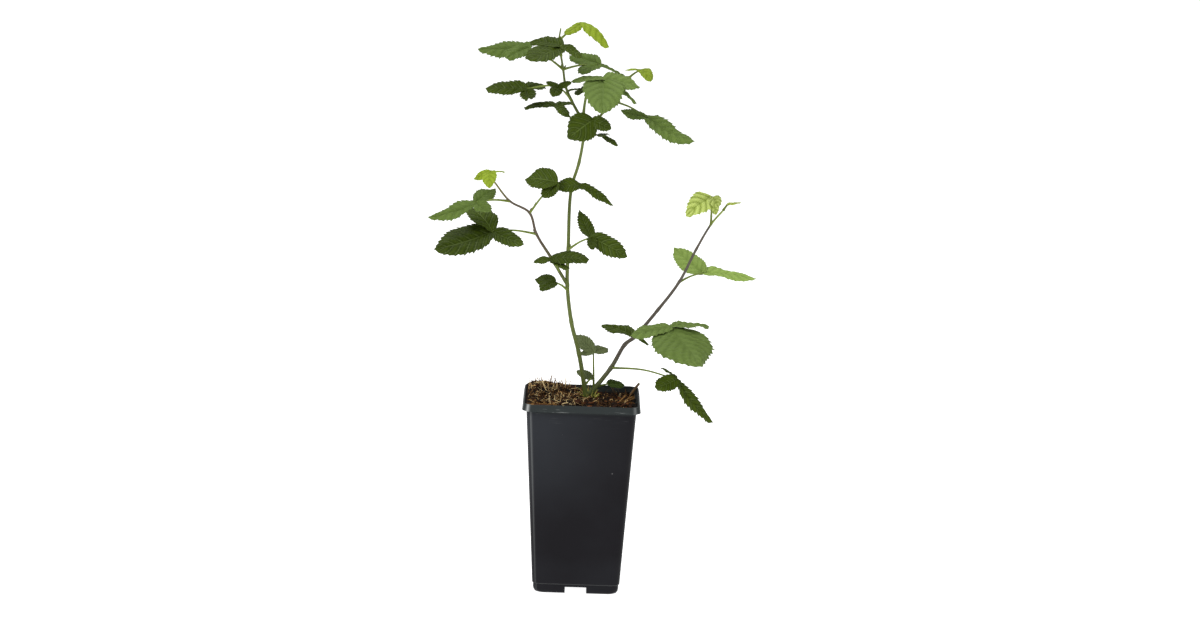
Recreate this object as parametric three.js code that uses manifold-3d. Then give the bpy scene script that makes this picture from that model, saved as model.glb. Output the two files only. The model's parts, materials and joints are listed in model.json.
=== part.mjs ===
// A young hybrid blackberry in its square growing pot, in millimetres with +Z up.
// Seen from the front, +X is to the right and +Y is away from the viewer.
// A heading is turned anticlockwise from +X, a rise is measured up from level, and both are degrees.
import * as THREE from "three";
import { mergeVertices } from "three/addons/utils/BufferGeometryUtils.js";
import Module from "manifold-3d";

// Clearances and mesh steps
const GAP = 0.3;
const STEM_SIDES = 8;
const STALK_SIDES = 4;
const RINGS_PER_STEP = 2;

// Pot: a tapered square container with rounded corners, a lipped rim and four corner feet
const POT = {
  height: 181.3,
  rimTop: 107.5,
  rimFoot: 110,
  rimBand: 6.4,
  bodyTop: 102,
  bodyFoot: 81.6,
  footHeight: 8.9,
  footWidth: 79.8,
  cornerTop: 9,
  cornerFoot: 7,
  wall: 1.3,
  floor: 1.8,
  channelWidth: 20,
  channelHeight: 6.5,
  holeRadius: 5,
  holeSpacing: 42,
};

// Potting mix: level under the stems, heaped at the left and low along the back right
const SOIL = {
  level: 178,
  perSide: 3,
  crown: { x: 7, y: 15, radius: 17 },
  heap: { x: -32, y: 22, radius: 26, height: 5.5 },
  dip: { x: 44, y: 34, radius: 30, height: -3 },
  ridge: { x: -8, y: -48, radius: 30, height: 2.2 },
};

// Stems: start point or parent place, then one row of heading, rise and length for each internode
const STEMS = [
  {
    name: "main_stem",
    start: [4, 8, 178.4],
    radius: [2.15, 1.2],
    flare: 0.9,
    colour: 0x6f8f3e,
    steps: [
      [207, 78, 43],
      [221, 71, 33],
      [192, 82, 35],
      [94, 86, 33],
      [83, 82, 56],
      [17, 75, 26],
      [318, 80, 27],
      [180, 88, 21],
      [303, 77, 27],
    ],
  },
  {
    name: "left_leader",
    parent: "main_stem",
    node: 7.5,
    radius: [1.5, 0.7],
    colour: 0x6f8f3e,
    steps: [
      [158, 57, 24],
      [215, 62, 15],
      [236, 73, 17],
      [221, 76, 13],
      [241, 72, 15],
      [303, 78, 12],
    ],
  },
  {
    name: "right_leader",
    parent: "main_stem",
    node: 7.2,
    radius: [1.4, 0.8],
    colour: 0x6f8f3e,
    steps: [
      [40, 31, 20],
      [39, 43, 22],
      [352, 57, 26],
    ],
  },
  {
    name: "left_shoot",
    parent: "main_stem",
    node: 3,
    radius: [1.7, 0.8],
    colour: 0x6a5a48,
    steps: [
      [215, 54, 33],
      [220, 52, 30],
      [221, 66, 22],
      [213, 29, 25],
      [214, 47, 26],
    ],
  },
  {
    name: "right_cane",
    start: [7, 18.5, 178.4],
    radius: [2.25, 0.9],
    flare: 0.9,
    colour: 0x5b4b46,
    steps: [
      [21, 50, 33],
      [33, 55, 26],
      [26, 34, 11],
      [20, 48, 35],
      [23, 51, 33],
      [22, 62, 35],
      [31, 56, 28],
      [20, 48, 18],
    ],
  },
  {
    name: "dead_stub",
    start: [46, 37, 175.6],
    radius: [1.45, 1.2],
    flare: 0.3,
    colour: 0x6b4a34,
    steps: [[41, 44, 15]],
  },
];

// Leaf tones: mature blades are dark, the newest at the tips are bright
const TONE = { dark: 0x3c5219, mid: 0x56753a, pale: 0x7b9650, grey: 0x6f8a5c, tip: 0x98b23a };

// Leaves: where the stalk starts (node along its stem), its heading, rise and length, which way the
// upper side looks, then for each leaflet the heading, rise and length from the stalk's end to its
// tip, with its own face, width, fold, curl or shape where that differs from the rest of its leaf.
// A shape's skew moves the widest place towards the stalk and its power draws the ends out.
const SHAPE = {
  blunt: { skew: 0.92, power: 0.5 },
  ovate: { skew: 0.72, power: 0.62 },
  lance: { skew: 0.86, power: 0.72 },
};
const UP = [0, 90];
const LEAVES = {
  left_leader: [
    { node: 5, stalk: [349, 40, 27], face: [270, 75], width: 0.46, curl: 60, fold: -0.5, tone: TONE.tip,
      shape: SHAPE.lance,
      blades: [[337, -36, 35, { width: 0.43 }],
        [229, -18, 26, { face: [279, 65], width: 0.4, fold: 0, curl: -30 }], [35, -42, 26]] },
    { node: 3, stalk: [159, 27, 38], face: [270, 55], width: 0.52, curl: 20, tone: TONE.mid,
      blades: [[180, -3, 48, { width: 0.43, curl: -6 }], [234, -12, 36], [128, -4, 34]] },
    { node: 4, stalk: [271, 34, 19], face: [270, 65], width: 0.62, curl: 20, tone: TONE.dark,
      blades: [[224, -13, 45, { face: [268, 72], width: 0.7, curl: -23, shape: SHAPE.lance }],
        [322, -20, 26, { width: 0.45 }], [146, 2, 35]] },
    { node: 3, stalk: [23, 6, 36], face: [270, 75], width: 0.6, curl: 15, tone: TONE.mid,
      blades: [[30, -24, 35, { width: 0.36 }], [230, -12, 29], [146, 10, 34, { face: [270, 55] }]] },
    { node: 2, stalk: [174, -6, 36], face: [270, 55], width: 0.54, curl: 20, tone: TONE.dark,
      blades: [[172, -2, 39, { width: 0.52, curl: 5 }],
        [274, -9, 33, { face: [259, 51], width: 0.46, curl: -30, shape: SHAPE.lance }], [56, 2, 29]] },
    { node: 1, stalk: [241, 29, 29], face: [270, 40], width: 0.8, curl: 20, tone: TONE.dark,
      blades: [[248, -30, 15], [330, 22, 15, { width: 0.5 }], [160, 20, 13, { width: 0.5 }]] },
  ],
  main_stem: [
    { node: 8.9, stalk: [321, 24, 20], face: [270, 50], width: 0.84, curl: 25, tone: TONE.pale,
      blades: [[270, -37, 45, { shape: SHAPE.ovate }], [180, -4, 30, { face: [270, 82], width: 0.6 }],
        [8, -10, 35, { face: [270, 62], width: 0.7 }],
        [20, -33, 40, { face: [270, 65], width: 0.3 }]] },
    { node: 8.7, stalk: [99, 1, 14], face: UP, width: 0.6, curl: 30, tone: TONE.dark,
      blades: [[141, -8, 22], [240, -10, 16], [60, 10, 20]] },
    { node: 7.1, stalk: [143, 32, 39], face: [270, 70], width: 0.45, curl: 35, tone: TONE.dark,
      blades: [[169, -5, 31], [300, -18, 24], [45, 5, 22]] },
    { node: 7, stalk: [329, 1, 18], face: [270, 80], width: 0.45, curl: 15, tone: TONE.dark,
      blades: [[328, -21, 21], [275, 5, 20], [65, 0, 18]] },
    { node: 5, stalk: [306, 23, 13], face: [270, 65], width: 0.36, curl: 40, tone: TONE.dark,
      blades: [[355, -28, 37, { face: [273, 58], width: 0.33, curl: 32, shape: SHAPE.lance }],
        [205, -5, 24, { face: [270, 45], width: 0.7 }], [80, -15, 30]] },
    { node: 4, stalk: [331, 30, 28], face: [270, 40], width: 0.53, curl: 13, tone: TONE.dark,
      blades: [[346, -25, 38, { shape: SHAPE.ovate }], [272, -20, 24, { width: 0.38 }],
        [125, 47, 31, { face: [274, 44], width: 0.45, curl: -30, shape: SHAPE.lance }]] },
    { node: 2.86, stalk: [222, 28, 19], face: [250, 50], width: 0.75, curl: 20, tone: TONE.dark,
      blades: [[228, -18, 20], [165, 4, 19]] },
    { node: 0.25, stalk: [50, 30, 12], face: [270, 40], width: 0.6, curl: 20, tone: TONE.grey,
      blades: [[165, 22, 16]] },
  ],
  right_leader: [
    { node: 1, stalk: [259, 2, 29], face: [270, 15], width: 0.92, curl: 21, tone: TONE.dark,
      shape: SHAPE.lance,
      blades: [[213, -31, 31], [330, -18, 21, { width: 0.6, shape: SHAPE.blunt }]] },
    { node: 2, stalk: [336, -19, 36], face: [270, 60], width: 0.43, curl: -30, tone: TONE.mid,
      shape: SHAPE.lance,
      blades: [[327, -19, 57, { face: [274, 67] }], [210, 14, 28, { face: [269, 42] }], [64, -2, 28]] },
    { node: 3, stalk: [330, 35, 15], face: [270, 50], width: 0.56, curl: 60, tone: TONE.tip,
      blades: [[295, -20, 24, { face: [282, 63] }], [200, 0, 15, { face: UP, width: 0.5, curl: 20 }]] },
  ],
  left_shoot: [
    { node: 3, stalk: [25, 47, 38], face: [270, 50], width: 0.9, curl: 40, tone: TONE.dark,
      blades: [[165, 1, 30], [229, -35, 22, { face: [271, 40], width: 0.64, curl: -30 }]] },
    { node: 2, stalk: [183, 2, 41], face: [270, 55], width: 0.62, curl: 15, tone: TONE.dark,
      shape: SHAPE.lance,
      blades: [[207, -14, 60, { face: [271, 62], width: 0.67, curl: -21 }],
        [329, -14, 36, { width: 0.57, curl: -13 }],
        [135, 26, 38, { face: [284, 73], width: 0.75, curl: 60 }]] },
    { node: 4, stalk: [187, -3, 31], face: [270, 60], width: 0.6, curl: 0, tone: TONE.mid,
      shape: SHAPE.lance,
      blades: [[190, -18, 46, { width: 0.44, curl: -30 }], [300, -12, 26, { shape: SHAPE.blunt }],
        [51, 21, 29, { width: 0.62, curl: 16 }]] },
    { node: 5, stalk: [230, 60, 10], face: [270, 30], width: 0.66, curl: 15, tone: TONE.tip,
      shape: SHAPE.lance,
      blades: [[269, -42, 19, { face: [254, 29], width: 0.74, curl: 60 }],
        [160, -24, 18, { width: 0.5 }], [45, -2, 18, { face: UP, width: 0.4 }]] },
    { node: 0.5, stalk: [250, 30, 28], face: [270, 62], width: 0.58, curl: 22, tone: TONE.dark,
      blades: [[341, 5, 38, { width: 0.56, curl: 25 }],
        [309, -9, 28, { face: [286, 80], width: 0.42, curl: -6 }], [204, -6, 17]] },
  ],
  right_cane: [
    { node: 7, stalk: [266, 77, 27], face: [270, 30], width: 0.65, curl: 25, tone: TONE.tip,
      blades: [[216, -28, 34, { face: [259, 32], curl: 59, shape: SHAPE.lance }],
        [285, -15, 22, { width: 0.6 }], [60, -60, 20, { width: 0.5 }]] },
    { node: 8, stalk: [0, 55, 6], face: [90, 60], width: 0.45, curl: 15, tone: TONE.tip,
      shape: SHAPE.lance,
      blades: [[342, 16, 14]] },
    { node: 5, stalk: [37, 13, 30], face: [270, 72], width: 0.45, curl: 12, tone: TONE.pale,
      blades: [[5, -5, 51, { shape: SHAPE.ovate }],
        [137, 27, 43, { face: [270, 42], width: 0.52, curl: -25 }]] },
    { node: 3, stalk: [327, 20, 43], face: [296, 82], width: 1.15, curl: 5, tone: TONE.pale,
      blades: [[305, -30, 58, { fold: -0.07 }], [205, -8, 42, { face: [270, 75], width: 0.55 }],
        [31, -2, 43, { face: [270, 86], width: 0.56, curl: 17, shape: SHAPE.lance }]] },
    { node: 2.9, stalk: [82, -2, 14], face: [270, 70], width: 0.5, curl: 20, tone: TONE.dark,
      blades: [[148, 10, 38], [8, -30, 16]] },
    { node: 1, stalk: [334, -3, 68], face: [230, 50], width: 0.32, curl: 20, tone: TONE.dark,
      shape: SHAPE.lance,
      blades: [[346, -46, 53, { face: [229, 68], width: 0.3, curl: -30 }],
        [222, -12, 27, { face: [270, 40], width: 0.66, curl: -11, shape: SHAPE.blunt }],
        [122, 14, 27, { face: [340, 52] }]] },
    { node: 0.2, stalk: [251, 83, 37], face: [270, 45], width: 0.6, curl: 15, tone: TONE.grey,
      blades: [[150, 34, 25], [195, -8, 13], [45, 3, 20]] },
    { node: 0.25, stalk: [26, 13, 14], face: [270, 50], width: 0.6, curl: 15, tone: TONE.grey,
      blades: [[32, -7, 19]] },
  ],
};

// Leaflet build: how far the blade's heel is sunk in the stalk, its thickness at the rib, and the
// number and depth of its teeth
const BLADE = { heel: 1.6, thick: 1.4, teeth: 6, toothDepth: 0.07, fold: 0.16 };
const STALK = { base: 1.15, end: 0.75, arch: 0.05 };

const wasm = await Module();
wasm.setup();

// Directions and solids
function direction([heading, rise]) {
  const turn = THREE.MathUtils.degToRad(heading);
  const lift = THREE.MathUtils.degToRad(rise);
  return new THREE.Vector3(
    Math.cos(turn) * Math.cos(lift),
    Math.sin(turn) * Math.cos(lift),
    Math.sin(lift),
  );
}

function solidOf(geometry) {
  const bare = new THREE.BufferGeometry();
  bare.setAttribute("position", geometry.getAttribute("position"));
  if (geometry.index) bare.setIndex(geometry.index);
  const merged = mergeVertices(bare, 1e-4);
  return new wasm.Manifold(
    new wasm.Mesh({
      numProp: 3,
      vertProperties: merged.attributes.position.array,
      triVerts: new Uint32Array(merged.index.array),
    }),
  );
}

function geometryOf(solid) {
  const mesh = solid.getMesh();
  const geometry = new THREE.BufferGeometry();
  geometry.setAttribute("position", new THREE.BufferAttribute(mesh.vertProperties, 3));
  geometry.setIndex(new THREE.BufferAttribute(mesh.triVerts, 1));
  geometry.computeVertexNormals();
  return geometry;
}

function surface(points, faces) {
  const geometry = new THREE.BufferGeometry().setFromPoints(points);
  geometry.setIndex(faces.flat());
  return geometry;
}

// Closes a stack of equal rings with a fan at each end.
function loft(rings) {
  const count = rings[0].length;
  const points = rings.flat();
  const faces = [];
  for (let row = 0; row + 1 < rings.length; row++) {
    for (let k = 0; k < count; k++) {
      const a = row * count + k;
      const b = row * count + ((k + 1) % count);
      faces.push([a, b, b + count], [a, b + count, a + count]);
    }
  }
  const last = (rings.length - 1) * count;
  const centre = (ring) => ring.reduce((sum, p) => sum.add(p), new THREE.Vector3()).divideScalar(count);
  const foot = points.push(centre(rings[0])) - 1;
  const top = points.push(centre(rings[rings.length - 1])) - 1;
  for (let k = 0; k < count; k++) {
    const next = (k + 1) % count;
    faces.push([foot, next, k], [top, last + k, last + next]);
  }
  return solidOf(surface(points, faces));
}

// A round limb along a curve; flat feet have a level first ring.
function limb(curve, steps, sides, radiusAt, flatFoot = false) {
  const frames = curve.computeFrenetFrames(steps, false);
  const rings = [];
  for (let i = 0; i <= steps; i++) {
    const centre = curve.getPointAt(i / steps);
    const radius = radiusAt(i / steps);
    const ring = [];
    for (let k = 0; k < sides; k++) {
      const turn = (2 * Math.PI * k) / sides;
      const point = centre
        .clone()
        .addScaledVector(frames.normals[i], radius * Math.cos(turn))
        .addScaledVector(frames.binormals[i], radius * Math.sin(turn));
      if (flatFoot && i === 0) point.z = centre.z;
      ring.push(point);
    }
    rings.push(ring);
  }
  return loft(rings);
}

// Pot
// A level square ring with round corners; extra points divide its sides.
function squareRing(width, corner, z, perSide = 0, centre = [0, 0]) {
  const inner = width / 2 - corner;
  const ring = [];
  const quarter = Math.PI / 2;
  for (let side = 0; side < 4; side++) {
    const middle = (side + 0.5) * quarter;
    const x = centre[0] + Math.sign(Math.cos(middle)) * inner;
    const y = centre[1] + Math.sign(Math.sin(middle)) * inner;
    for (let k = 0; k < 4; k++) {
      const turn = side * quarter + (quarter * k) / 3;
      ring.push(new THREE.Vector3(x + corner * Math.cos(turn), y + corner * Math.sin(turn), 0));
    }
    const last = ring[ring.length - 1];
    const along = new THREE.Vector3(-Math.sin(middle + quarter / 2), Math.cos(middle + quarter / 2), 0);
    for (let k = 1; k <= perSide; k++) {
      ring.push(last.clone().addScaledVector(along, (2 * inner * k) / (perSide + 1)));
    }
  }
  for (const point of ring) point.z = typeof z === "function" ? z(point.x, point.y) : z;
  return ring;
}

function bodyWidthAt(z) {
  const share = (z - POT.footHeight) / (POT.height - POT.rimBand - POT.footHeight);
  return POT.bodyFoot + (POT.bodyTop - POT.bodyFoot) * share;
}

function block(x, y, z, width, depth, height) {
  const geometry = new THREE.BoxGeometry(width, depth, height);
  geometry.translate(x, y, z);
  return solidOf(geometry);
}

function potSolid() {
  const rimZ = POT.height - POT.rimBand;
  const floorZ = POT.channelHeight + POT.floor;
  const outer = loft([
    squareRing(POT.footWidth, POT.cornerFoot, 0),
    squareRing(POT.footWidth, POT.cornerFoot, POT.footHeight),
    squareRing(POT.bodyFoot, POT.cornerFoot, POT.footHeight + 0.01),
    squareRing(POT.bodyTop, POT.cornerTop, rimZ),
    squareRing(POT.rimFoot, POT.cornerTop + 2, rimZ + 0.01),
    squareRing(POT.rimTop, POT.cornerTop + 1, POT.height),
  ]);
  const inside = loft([
    squareRing(bodyWidthAt(floorZ) - 2 * POT.wall, POT.cornerFoot - 1, floorZ),
    squareRing(bodyWidthAt(rimZ) - 2 * POT.wall, POT.cornerTop - 1, rimZ),
    squareRing(POT.rimTop - 2 * POT.wall - 1, POT.cornerTop, rimZ + 3),
    squareRing(POT.rimTop - 2 * POT.wall, POT.cornerTop, POT.height + 1),
  ]);
  let pot = outer.subtract(inside);
  for (const [width, depth] of [[POT.channelWidth, 200], [200, POT.channelWidth]]) {
    pot = pot.subtract(block(0, 0, 0, width, depth, 2 * POT.channelHeight));
  }
  for (const [x, y] of [[1, 0], [0, 1], [-1, 0], [0, -1]]) {
    const hole = new THREE.CylinderGeometry(POT.holeRadius, POT.holeRadius, 30, 12);
    hole.rotateX(Math.PI / 2);
    hole.translate((x * POT.holeSpacing) / 2, (y * POT.holeSpacing) / 2, 0);
    pot = pot.subtract(solidOf(hole));
  }
  return pot;
}

// Potting mix
function swell({ x, y, radius, height }, px, py) {
  return height * Math.exp(-((px - x) ** 2 + (py - y) ** 2) / radius ** 2);
}

function soilHeight(x, y) {
  const fromCrown = Math.hypot(x - SOIL.crown.x, y - SOIL.crown.y) / SOIL.crown.radius;
  const free = THREE.MathUtils.smoothstep(fromCrown, 1, 1.8);
  return SOIL.level + free * (swell(SOIL.heap, x, y) + swell(SOIL.dip, x, y) + swell(SOIL.ridge, x, y));
}

function soilSolid() {
  const floorZ = POT.channelHeight + POT.floor + GAP;
  const rimZ = POT.height - POT.rimBand;
  const slack = 2 * (POT.wall + GAP);
  const topWidth = bodyWidthAt(rimZ) - slack;
  const corner = POT.cornerTop - 1;
  const rings = [
    squareRing(bodyWidthAt(floorZ) - slack, POT.cornerFoot - 1, floorZ, SOIL.perSide),
    squareRing(topWidth, corner, rimZ - 2, SOIL.perSide),
  ];
  for (const share of [1, 0.84, 0.66, 0.48, 0.32, 0.12]) {
    const centre = [SOIL.crown.x * (1 - share), SOIL.crown.y * (1 - share)];
    rings.push(squareRing(topWidth * share, corner * share, soilHeight, SOIL.perSide, centre));
  }
  return loft(rings);
}

// Stems
function stemCurve(stem, start) {
  const points = [start.clone()];
  for (const [heading, rise, length] of stem.steps) {
    const last = points[points.length - 1];
    points.push(last.clone().addScaledVector(direction([heading, rise]), length));
  }
  return new THREE.CatmullRomCurve3(points, false, "centripetal");
}

function placeOn(stem, node) {
  return stem.curve.getPoint(node / stem.steps.length);
}

function stemSolid(stem, extra = 0) {
  const [base, tip] = stem.radius;
  const length = stem.curve.getLength();
  const radiusAt = (share) =>
    base + (tip - base) * share + (stem.flare || 0) * Math.exp((-share * length) / 5) + extra;
  const steps = Math.max(4, stem.steps.length * RINGS_PER_STEP);
  return limb(stem.curve, steps, STEM_SIDES, radiusAt, Boolean(stem.start));
}

// Leaves
function halfWidth(share, { skew, power }) {
  return Math.sin(Math.PI * share ** skew) ** power * (1 - 0.15 * share ** 6);
}

function bladeSolid(hub, axis, length, up, { width, curl, fold = BLADE.fold, shape = SHAPE.blunt }) {
  const side = new THREE.Vector3().crossVectors(up, axis);
  const sag = (length * Math.tan(THREE.MathUtils.degToRad(curl) / 4)) / 2;
  const ribAt = (share) => {
    const along = share - ((1 - share) * BLADE.heel) / length;
    return hub
      .clone()
      .addScaledVector(axis, length * along)
      .addScaledVector(up, 4 * sag * share * (1 - share));
  };
  const points = [ribAt(0), ribAt(1)];
  const ribs = [[0, 0]];
  for (let tooth = 1; tooth < BLADE.teeth; tooth++) {
    const rib = ribAt(tooth / BLADE.teeth);
    const half = (BLADE.thick / 2) * (1 - 0.5 * (tooth / BLADE.teeth));
    const top = points.push(rib.clone().addScaledVector(up, half)) - 1;
    const under = points.push(rib.clone().addScaledVector(up, -half)) - 1;
    ribs.push([top, under]);
  }
  ribs.push([1, 1]);
  const faces = [];
  for (const hand of [1, -1]) {
    const marginAt = (share, reach) => {
      const w = halfWidth(share, shape) * reach * (width / 2) * length;
      const point = ribAt(share);
      point.addScaledVector(side, hand * w).addScaledVector(up, fold * w);
      return points.push(point) - 1;
    };
    const valleys = [0];
    const peaks = [];
    for (let tooth = 0; tooth < BLADE.teeth; tooth++) {
      peaks.push(marginAt((tooth + 0.35) / BLADE.teeth, 1 + BLADE.toothDepth));
      if (tooth + 1 < BLADE.teeth) valleys.push(marginAt((tooth + 1) / BLADE.teeth, 1 - BLADE.toothDepth));
    }
    valleys.push(1);
    for (const level of [0, 1]) {
      const flip = (hand === 1) === (level === 0);
      const add = (a, b, c) => {
        if (a !== b && b !== c && a !== c) faces.push(flip ? [a, c, b] : [a, b, c]);
      };
      for (let tooth = 0; tooth < BLADE.teeth; tooth++) {
        const here = ribs[tooth][level];
        const next = ribs[tooth + 1][level];
        add(here, valleys[tooth], peaks[tooth]);
        add(here, peaks[tooth], next);
        add(next, peaks[tooth], valleys[tooth + 1]);
      }
    }
  }
  return solidOf(surface(points, faces));
}

function leafSolid(leaf, stem) {
  const root = placeOn(stem, leaf.node);
  const [, , stalkLength] = leaf.stalk;
  const hub = root.clone().addScaledVector(direction(leaf.stalk), stalkLength);
  const middle = root.clone().lerp(hub, 0.5);
  middle.z += STALK.arch * stalkLength;
  const stalk = new THREE.CatmullRomCurve3([root, middle, hub]);
  const taper = (share) => STALK.base + (STALK.end - STALK.base) * share;
  let solid = limb(stalk, 4, STALK_SIDES, taper);
  for (const [heading, rise, length, own] of leaf.blades) {
    const look = { ...leaf, ...own };
    const axis = direction([heading, rise]);
    const up = direction(look.face);
    up.addScaledVector(axis, -up.dot(axis)).normalize();
    solid = solid.add(bladeSolid(hub, axis, length, up, look));
  }
  return solid.subtract(stemSolid(stem, GAP + 0.05));
}

// Assembly
const plant = new THREE.Group();

function addPart(name, solid, color, roughness, metalness = 0) {
  const material = new THREE.MeshStandardMaterial({ color, roughness, metalness });
  const mesh = new THREE.Mesh(geometryOf(solid), material);
  mesh.name = name;
  plant.add(mesh);
}

addPart("pot", potSolid(), 0x2a2b2e, 0.45);
addPart("potting_mix", soilSolid(), 0x3a2817, 0.95);

const stems = new Map();
for (const stem of STEMS) {
  const parent = stem.parent && stems.get(stem.parent);
  const start = parent ? placeOn(parent, stem.node) : new THREE.Vector3(...stem.start);
  stem.curve = stemCurve(stem, start);
  stems.set(stem.name, stem);
  const solid = stemSolid(stem);
  addPart(stem.name, parent ? solid.subtract(stemSolid(parent, GAP + 0.05)) : solid, stem.colour, 0.6);
}

for (const [name, leaves] of Object.entries(LEAVES)) {
  leaves.forEach((leaf, i) => {
    addPart(`${name}_leaf_${i + 1}`, leafSolid(leaf, stems.get(name)), leaf.tone, 0.6);
  });
}

// The origin is at the middle of the bottom of the whole plant's box
const box = new THREE.Box3().setFromObject(plant, true);
plant.position.set(-(box.min.x + box.max.x) / 2, -(box.min.y + box.max.y) / 2, -box.min.z);

export default plant;
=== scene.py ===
"""The looks of a young hybrid bramble in its square growing pot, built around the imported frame.

Every place is worked out in millimetres from the pot's axis at ground level, with +X to the viewer's
right, +Y away from the viewer and +Z up, and is turned to metres in the frame when a mesh is made.
A heading is turned anticlockwise from +X and a rise is measured up from level, both in degrees.
"""

import json
import logging
from dataclasses import dataclass, field
from enum import Enum

import bpy
import numpy as np
from mathutils import Matrix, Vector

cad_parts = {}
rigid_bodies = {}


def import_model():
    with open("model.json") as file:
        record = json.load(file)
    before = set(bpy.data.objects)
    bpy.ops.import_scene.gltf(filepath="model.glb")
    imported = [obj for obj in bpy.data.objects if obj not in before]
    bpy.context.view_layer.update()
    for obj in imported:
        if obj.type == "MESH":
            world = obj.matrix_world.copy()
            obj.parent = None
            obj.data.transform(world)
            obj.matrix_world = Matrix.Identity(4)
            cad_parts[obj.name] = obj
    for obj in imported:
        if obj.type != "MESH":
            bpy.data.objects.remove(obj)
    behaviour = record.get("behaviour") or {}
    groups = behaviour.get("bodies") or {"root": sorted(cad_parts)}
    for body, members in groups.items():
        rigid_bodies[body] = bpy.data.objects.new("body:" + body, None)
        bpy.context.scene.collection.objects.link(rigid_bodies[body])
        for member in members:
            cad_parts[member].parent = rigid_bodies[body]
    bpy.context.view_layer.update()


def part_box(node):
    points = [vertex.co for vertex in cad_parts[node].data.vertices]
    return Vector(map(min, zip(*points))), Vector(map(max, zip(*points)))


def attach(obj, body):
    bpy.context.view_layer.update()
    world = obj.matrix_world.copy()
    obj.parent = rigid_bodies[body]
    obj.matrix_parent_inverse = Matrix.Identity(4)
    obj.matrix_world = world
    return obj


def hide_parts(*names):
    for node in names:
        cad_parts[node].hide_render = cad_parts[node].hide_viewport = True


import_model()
LOG = logging.getLogger("bramble")

MM = 0.001
SEED = 2207
LATTICE_CELLS = 64
LATTICE_SHIFT = 200.5

Array = np.ndarray
Material = bpy.types.Material
Piece = bpy.types.Object
Tree = bpy.types.NodeTree
Colour = tuple[float, float, float, float]
Mound = tuple[float, float, float, float]
Triple = tuple[float, float, float]
Pair = tuple[float, float]


# Small helpers

def srgb(code: str) -> Colour:
    """Turns an sRGB hex colour into linear light.

    Args:
        code: Six hex digits, such as "3c5219".

    Returns:
        Red, green, blue and an alpha of one.
    """
    parts = [int(code[i:i + 2], 16) / 255 for i in (0, 2, 4)]
    linear = [c / 12.92 if c <= 0.04045 else ((c + 0.055) / 1.055) ** 2.4 for c in parts]
    return (*linear, 1.0)


def per_metre(size_mm: float) -> float:
    """Gives the pattern scale whose repeats are size_mm long on object coordinates in metres."""
    return 1000.0 / size_mm


def unit(vectors: Array) -> Array:
    """Brings a vector, or each row of vectors, to length one."""
    return vectors / np.linalg.norm(vectors, axis=-1, keepdims=True)


def direction(heading: float | Array, rise: float | Array) -> Array:
    """Gives the unit vector of a heading and a rise in degrees, or a column for each of many."""
    turn, lift = np.radians(heading), np.radians(rise)
    return np.array([np.cos(turn) * np.cos(lift), np.sin(turn) * np.cos(lift), np.sin(lift)])


def smoothstep(low: float, high: float, values: Array) -> Array:
    """Rises from 0 to 1 between low and high as 3t squared less 2t cubed."""
    t = np.clip((values - low) / (high - low), 0, 1)
    return t * t * (3 - 2 * t)


def bell(distance: Array, reach: float | Array) -> Array:
    """Falls from 1 as e to minus the square of distance over reach."""
    return np.exp(-(distance / reach) ** 2)


def lumps(x: Array, y: Array, size: float, seed: int) -> Array:
    """Gives smooth random lumps from -1 to 1: a random lattice of the given spacing, eased between.

    Args:
        x: First coordinates in millimetres.
        y: Second coordinates in millimetres.
        size: Lattice spacing in millimetres.
        seed: Picks the lattice.

    Returns:
        One height for each pair of coordinates.
    """
    cells = np.random.default_rng(seed).uniform(-1, 1, (LATTICE_CELLS, LATTICE_CELLS))
    lattice = np.pad(cells, (0, 1), mode="wrap")
    x, y = x / size + LATTICE_SHIFT, y / size + LATTICE_SHIFT
    i, j = np.floor(x).astype(int), np.floor(y).astype(int)
    tx, ty = smoothstep(0, 1, x - i), smoothstep(0, 1, y - j)
    i, j = i % LATTICE_CELLS, j % LATTICE_CELLS
    near = lattice[i, j] * (1 - tx) + lattice[i + 1, j] * tx
    far = lattice[i, j + 1] * (1 - tx) + lattice[i + 1, j + 1] * tx
    return near * (1 - ty) + far * ty


def add(tree: Tree, kind: str, settings: dict | None = None) -> bpy.types.Node:
    """Adds one shader node with its settings and links.

    Args:
        tree: The node tree.
        kind: The node's type name after "ShaderNode".
        settings: What each input, by name or number, and each option of the node gets: a value, a socket,
            or a node, which stands for its first output in use. The option stops takes the places and
            hex colours of a colour ramp that starts at 0.

    Returns:
        The new node.
    """
    node = tree.nodes.new(f"ShaderNode{kind}")
    for key, value in (settings or {}).items():
        if isinstance(value, bpy.types.Node):
            tree.links.new(next(output for output in value.outputs if output.enabled), node.inputs[key])
        elif isinstance(value, bpy.types.NodeSocket):
            tree.links.new(value, node.inputs[key])
        elif key == "stops":
            stops = node.color_ramp.elements
            for place, code in value[1:-1]:
                stops.new(place).color = srgb(code)
            stops[0].color = srgb(value[0][1])
            stops[-1].position, stops[-1].color = value[-1][0], srgb(value[-1][1])
        elif isinstance(key, int) or key in node.inputs:
            node.inputs[key].default_value = value
        else:
            setattr(node, key, value)
    return node


def new_material(name: str) -> tuple[Material, Tree]:
    """Makes an empty node material.

    Args:
        name: The material's plain name.

    Returns:
        The material and its node tree.
    """
    material = bpy.data.materials.new(name)
    material.use_nodes = True
    material.node_tree.nodes.clear()
    return material, material.node_tree


def finish_surface(tree: Tree, settings: dict) -> None:
    """Adds the surface shader, with its settings and links, and the output that it feeds."""
    add(tree, "OutputMaterial", {"Surface": add(tree, "BsdfPrincipled", settings)})


def put(name: str, data: bpy.types.ID) -> Piece:
    """Puts a mesh, lamp or camera into the scene.

    Args:
        name: The object's name.
        data: The mesh, lamp or camera.

    Returns:
        The new object, at the origin and unturned.
    """
    thing = bpy.data.objects.new(name, data)
    bpy.context.scene.collection.objects.link(thing)
    return thing


# Meshes

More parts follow.
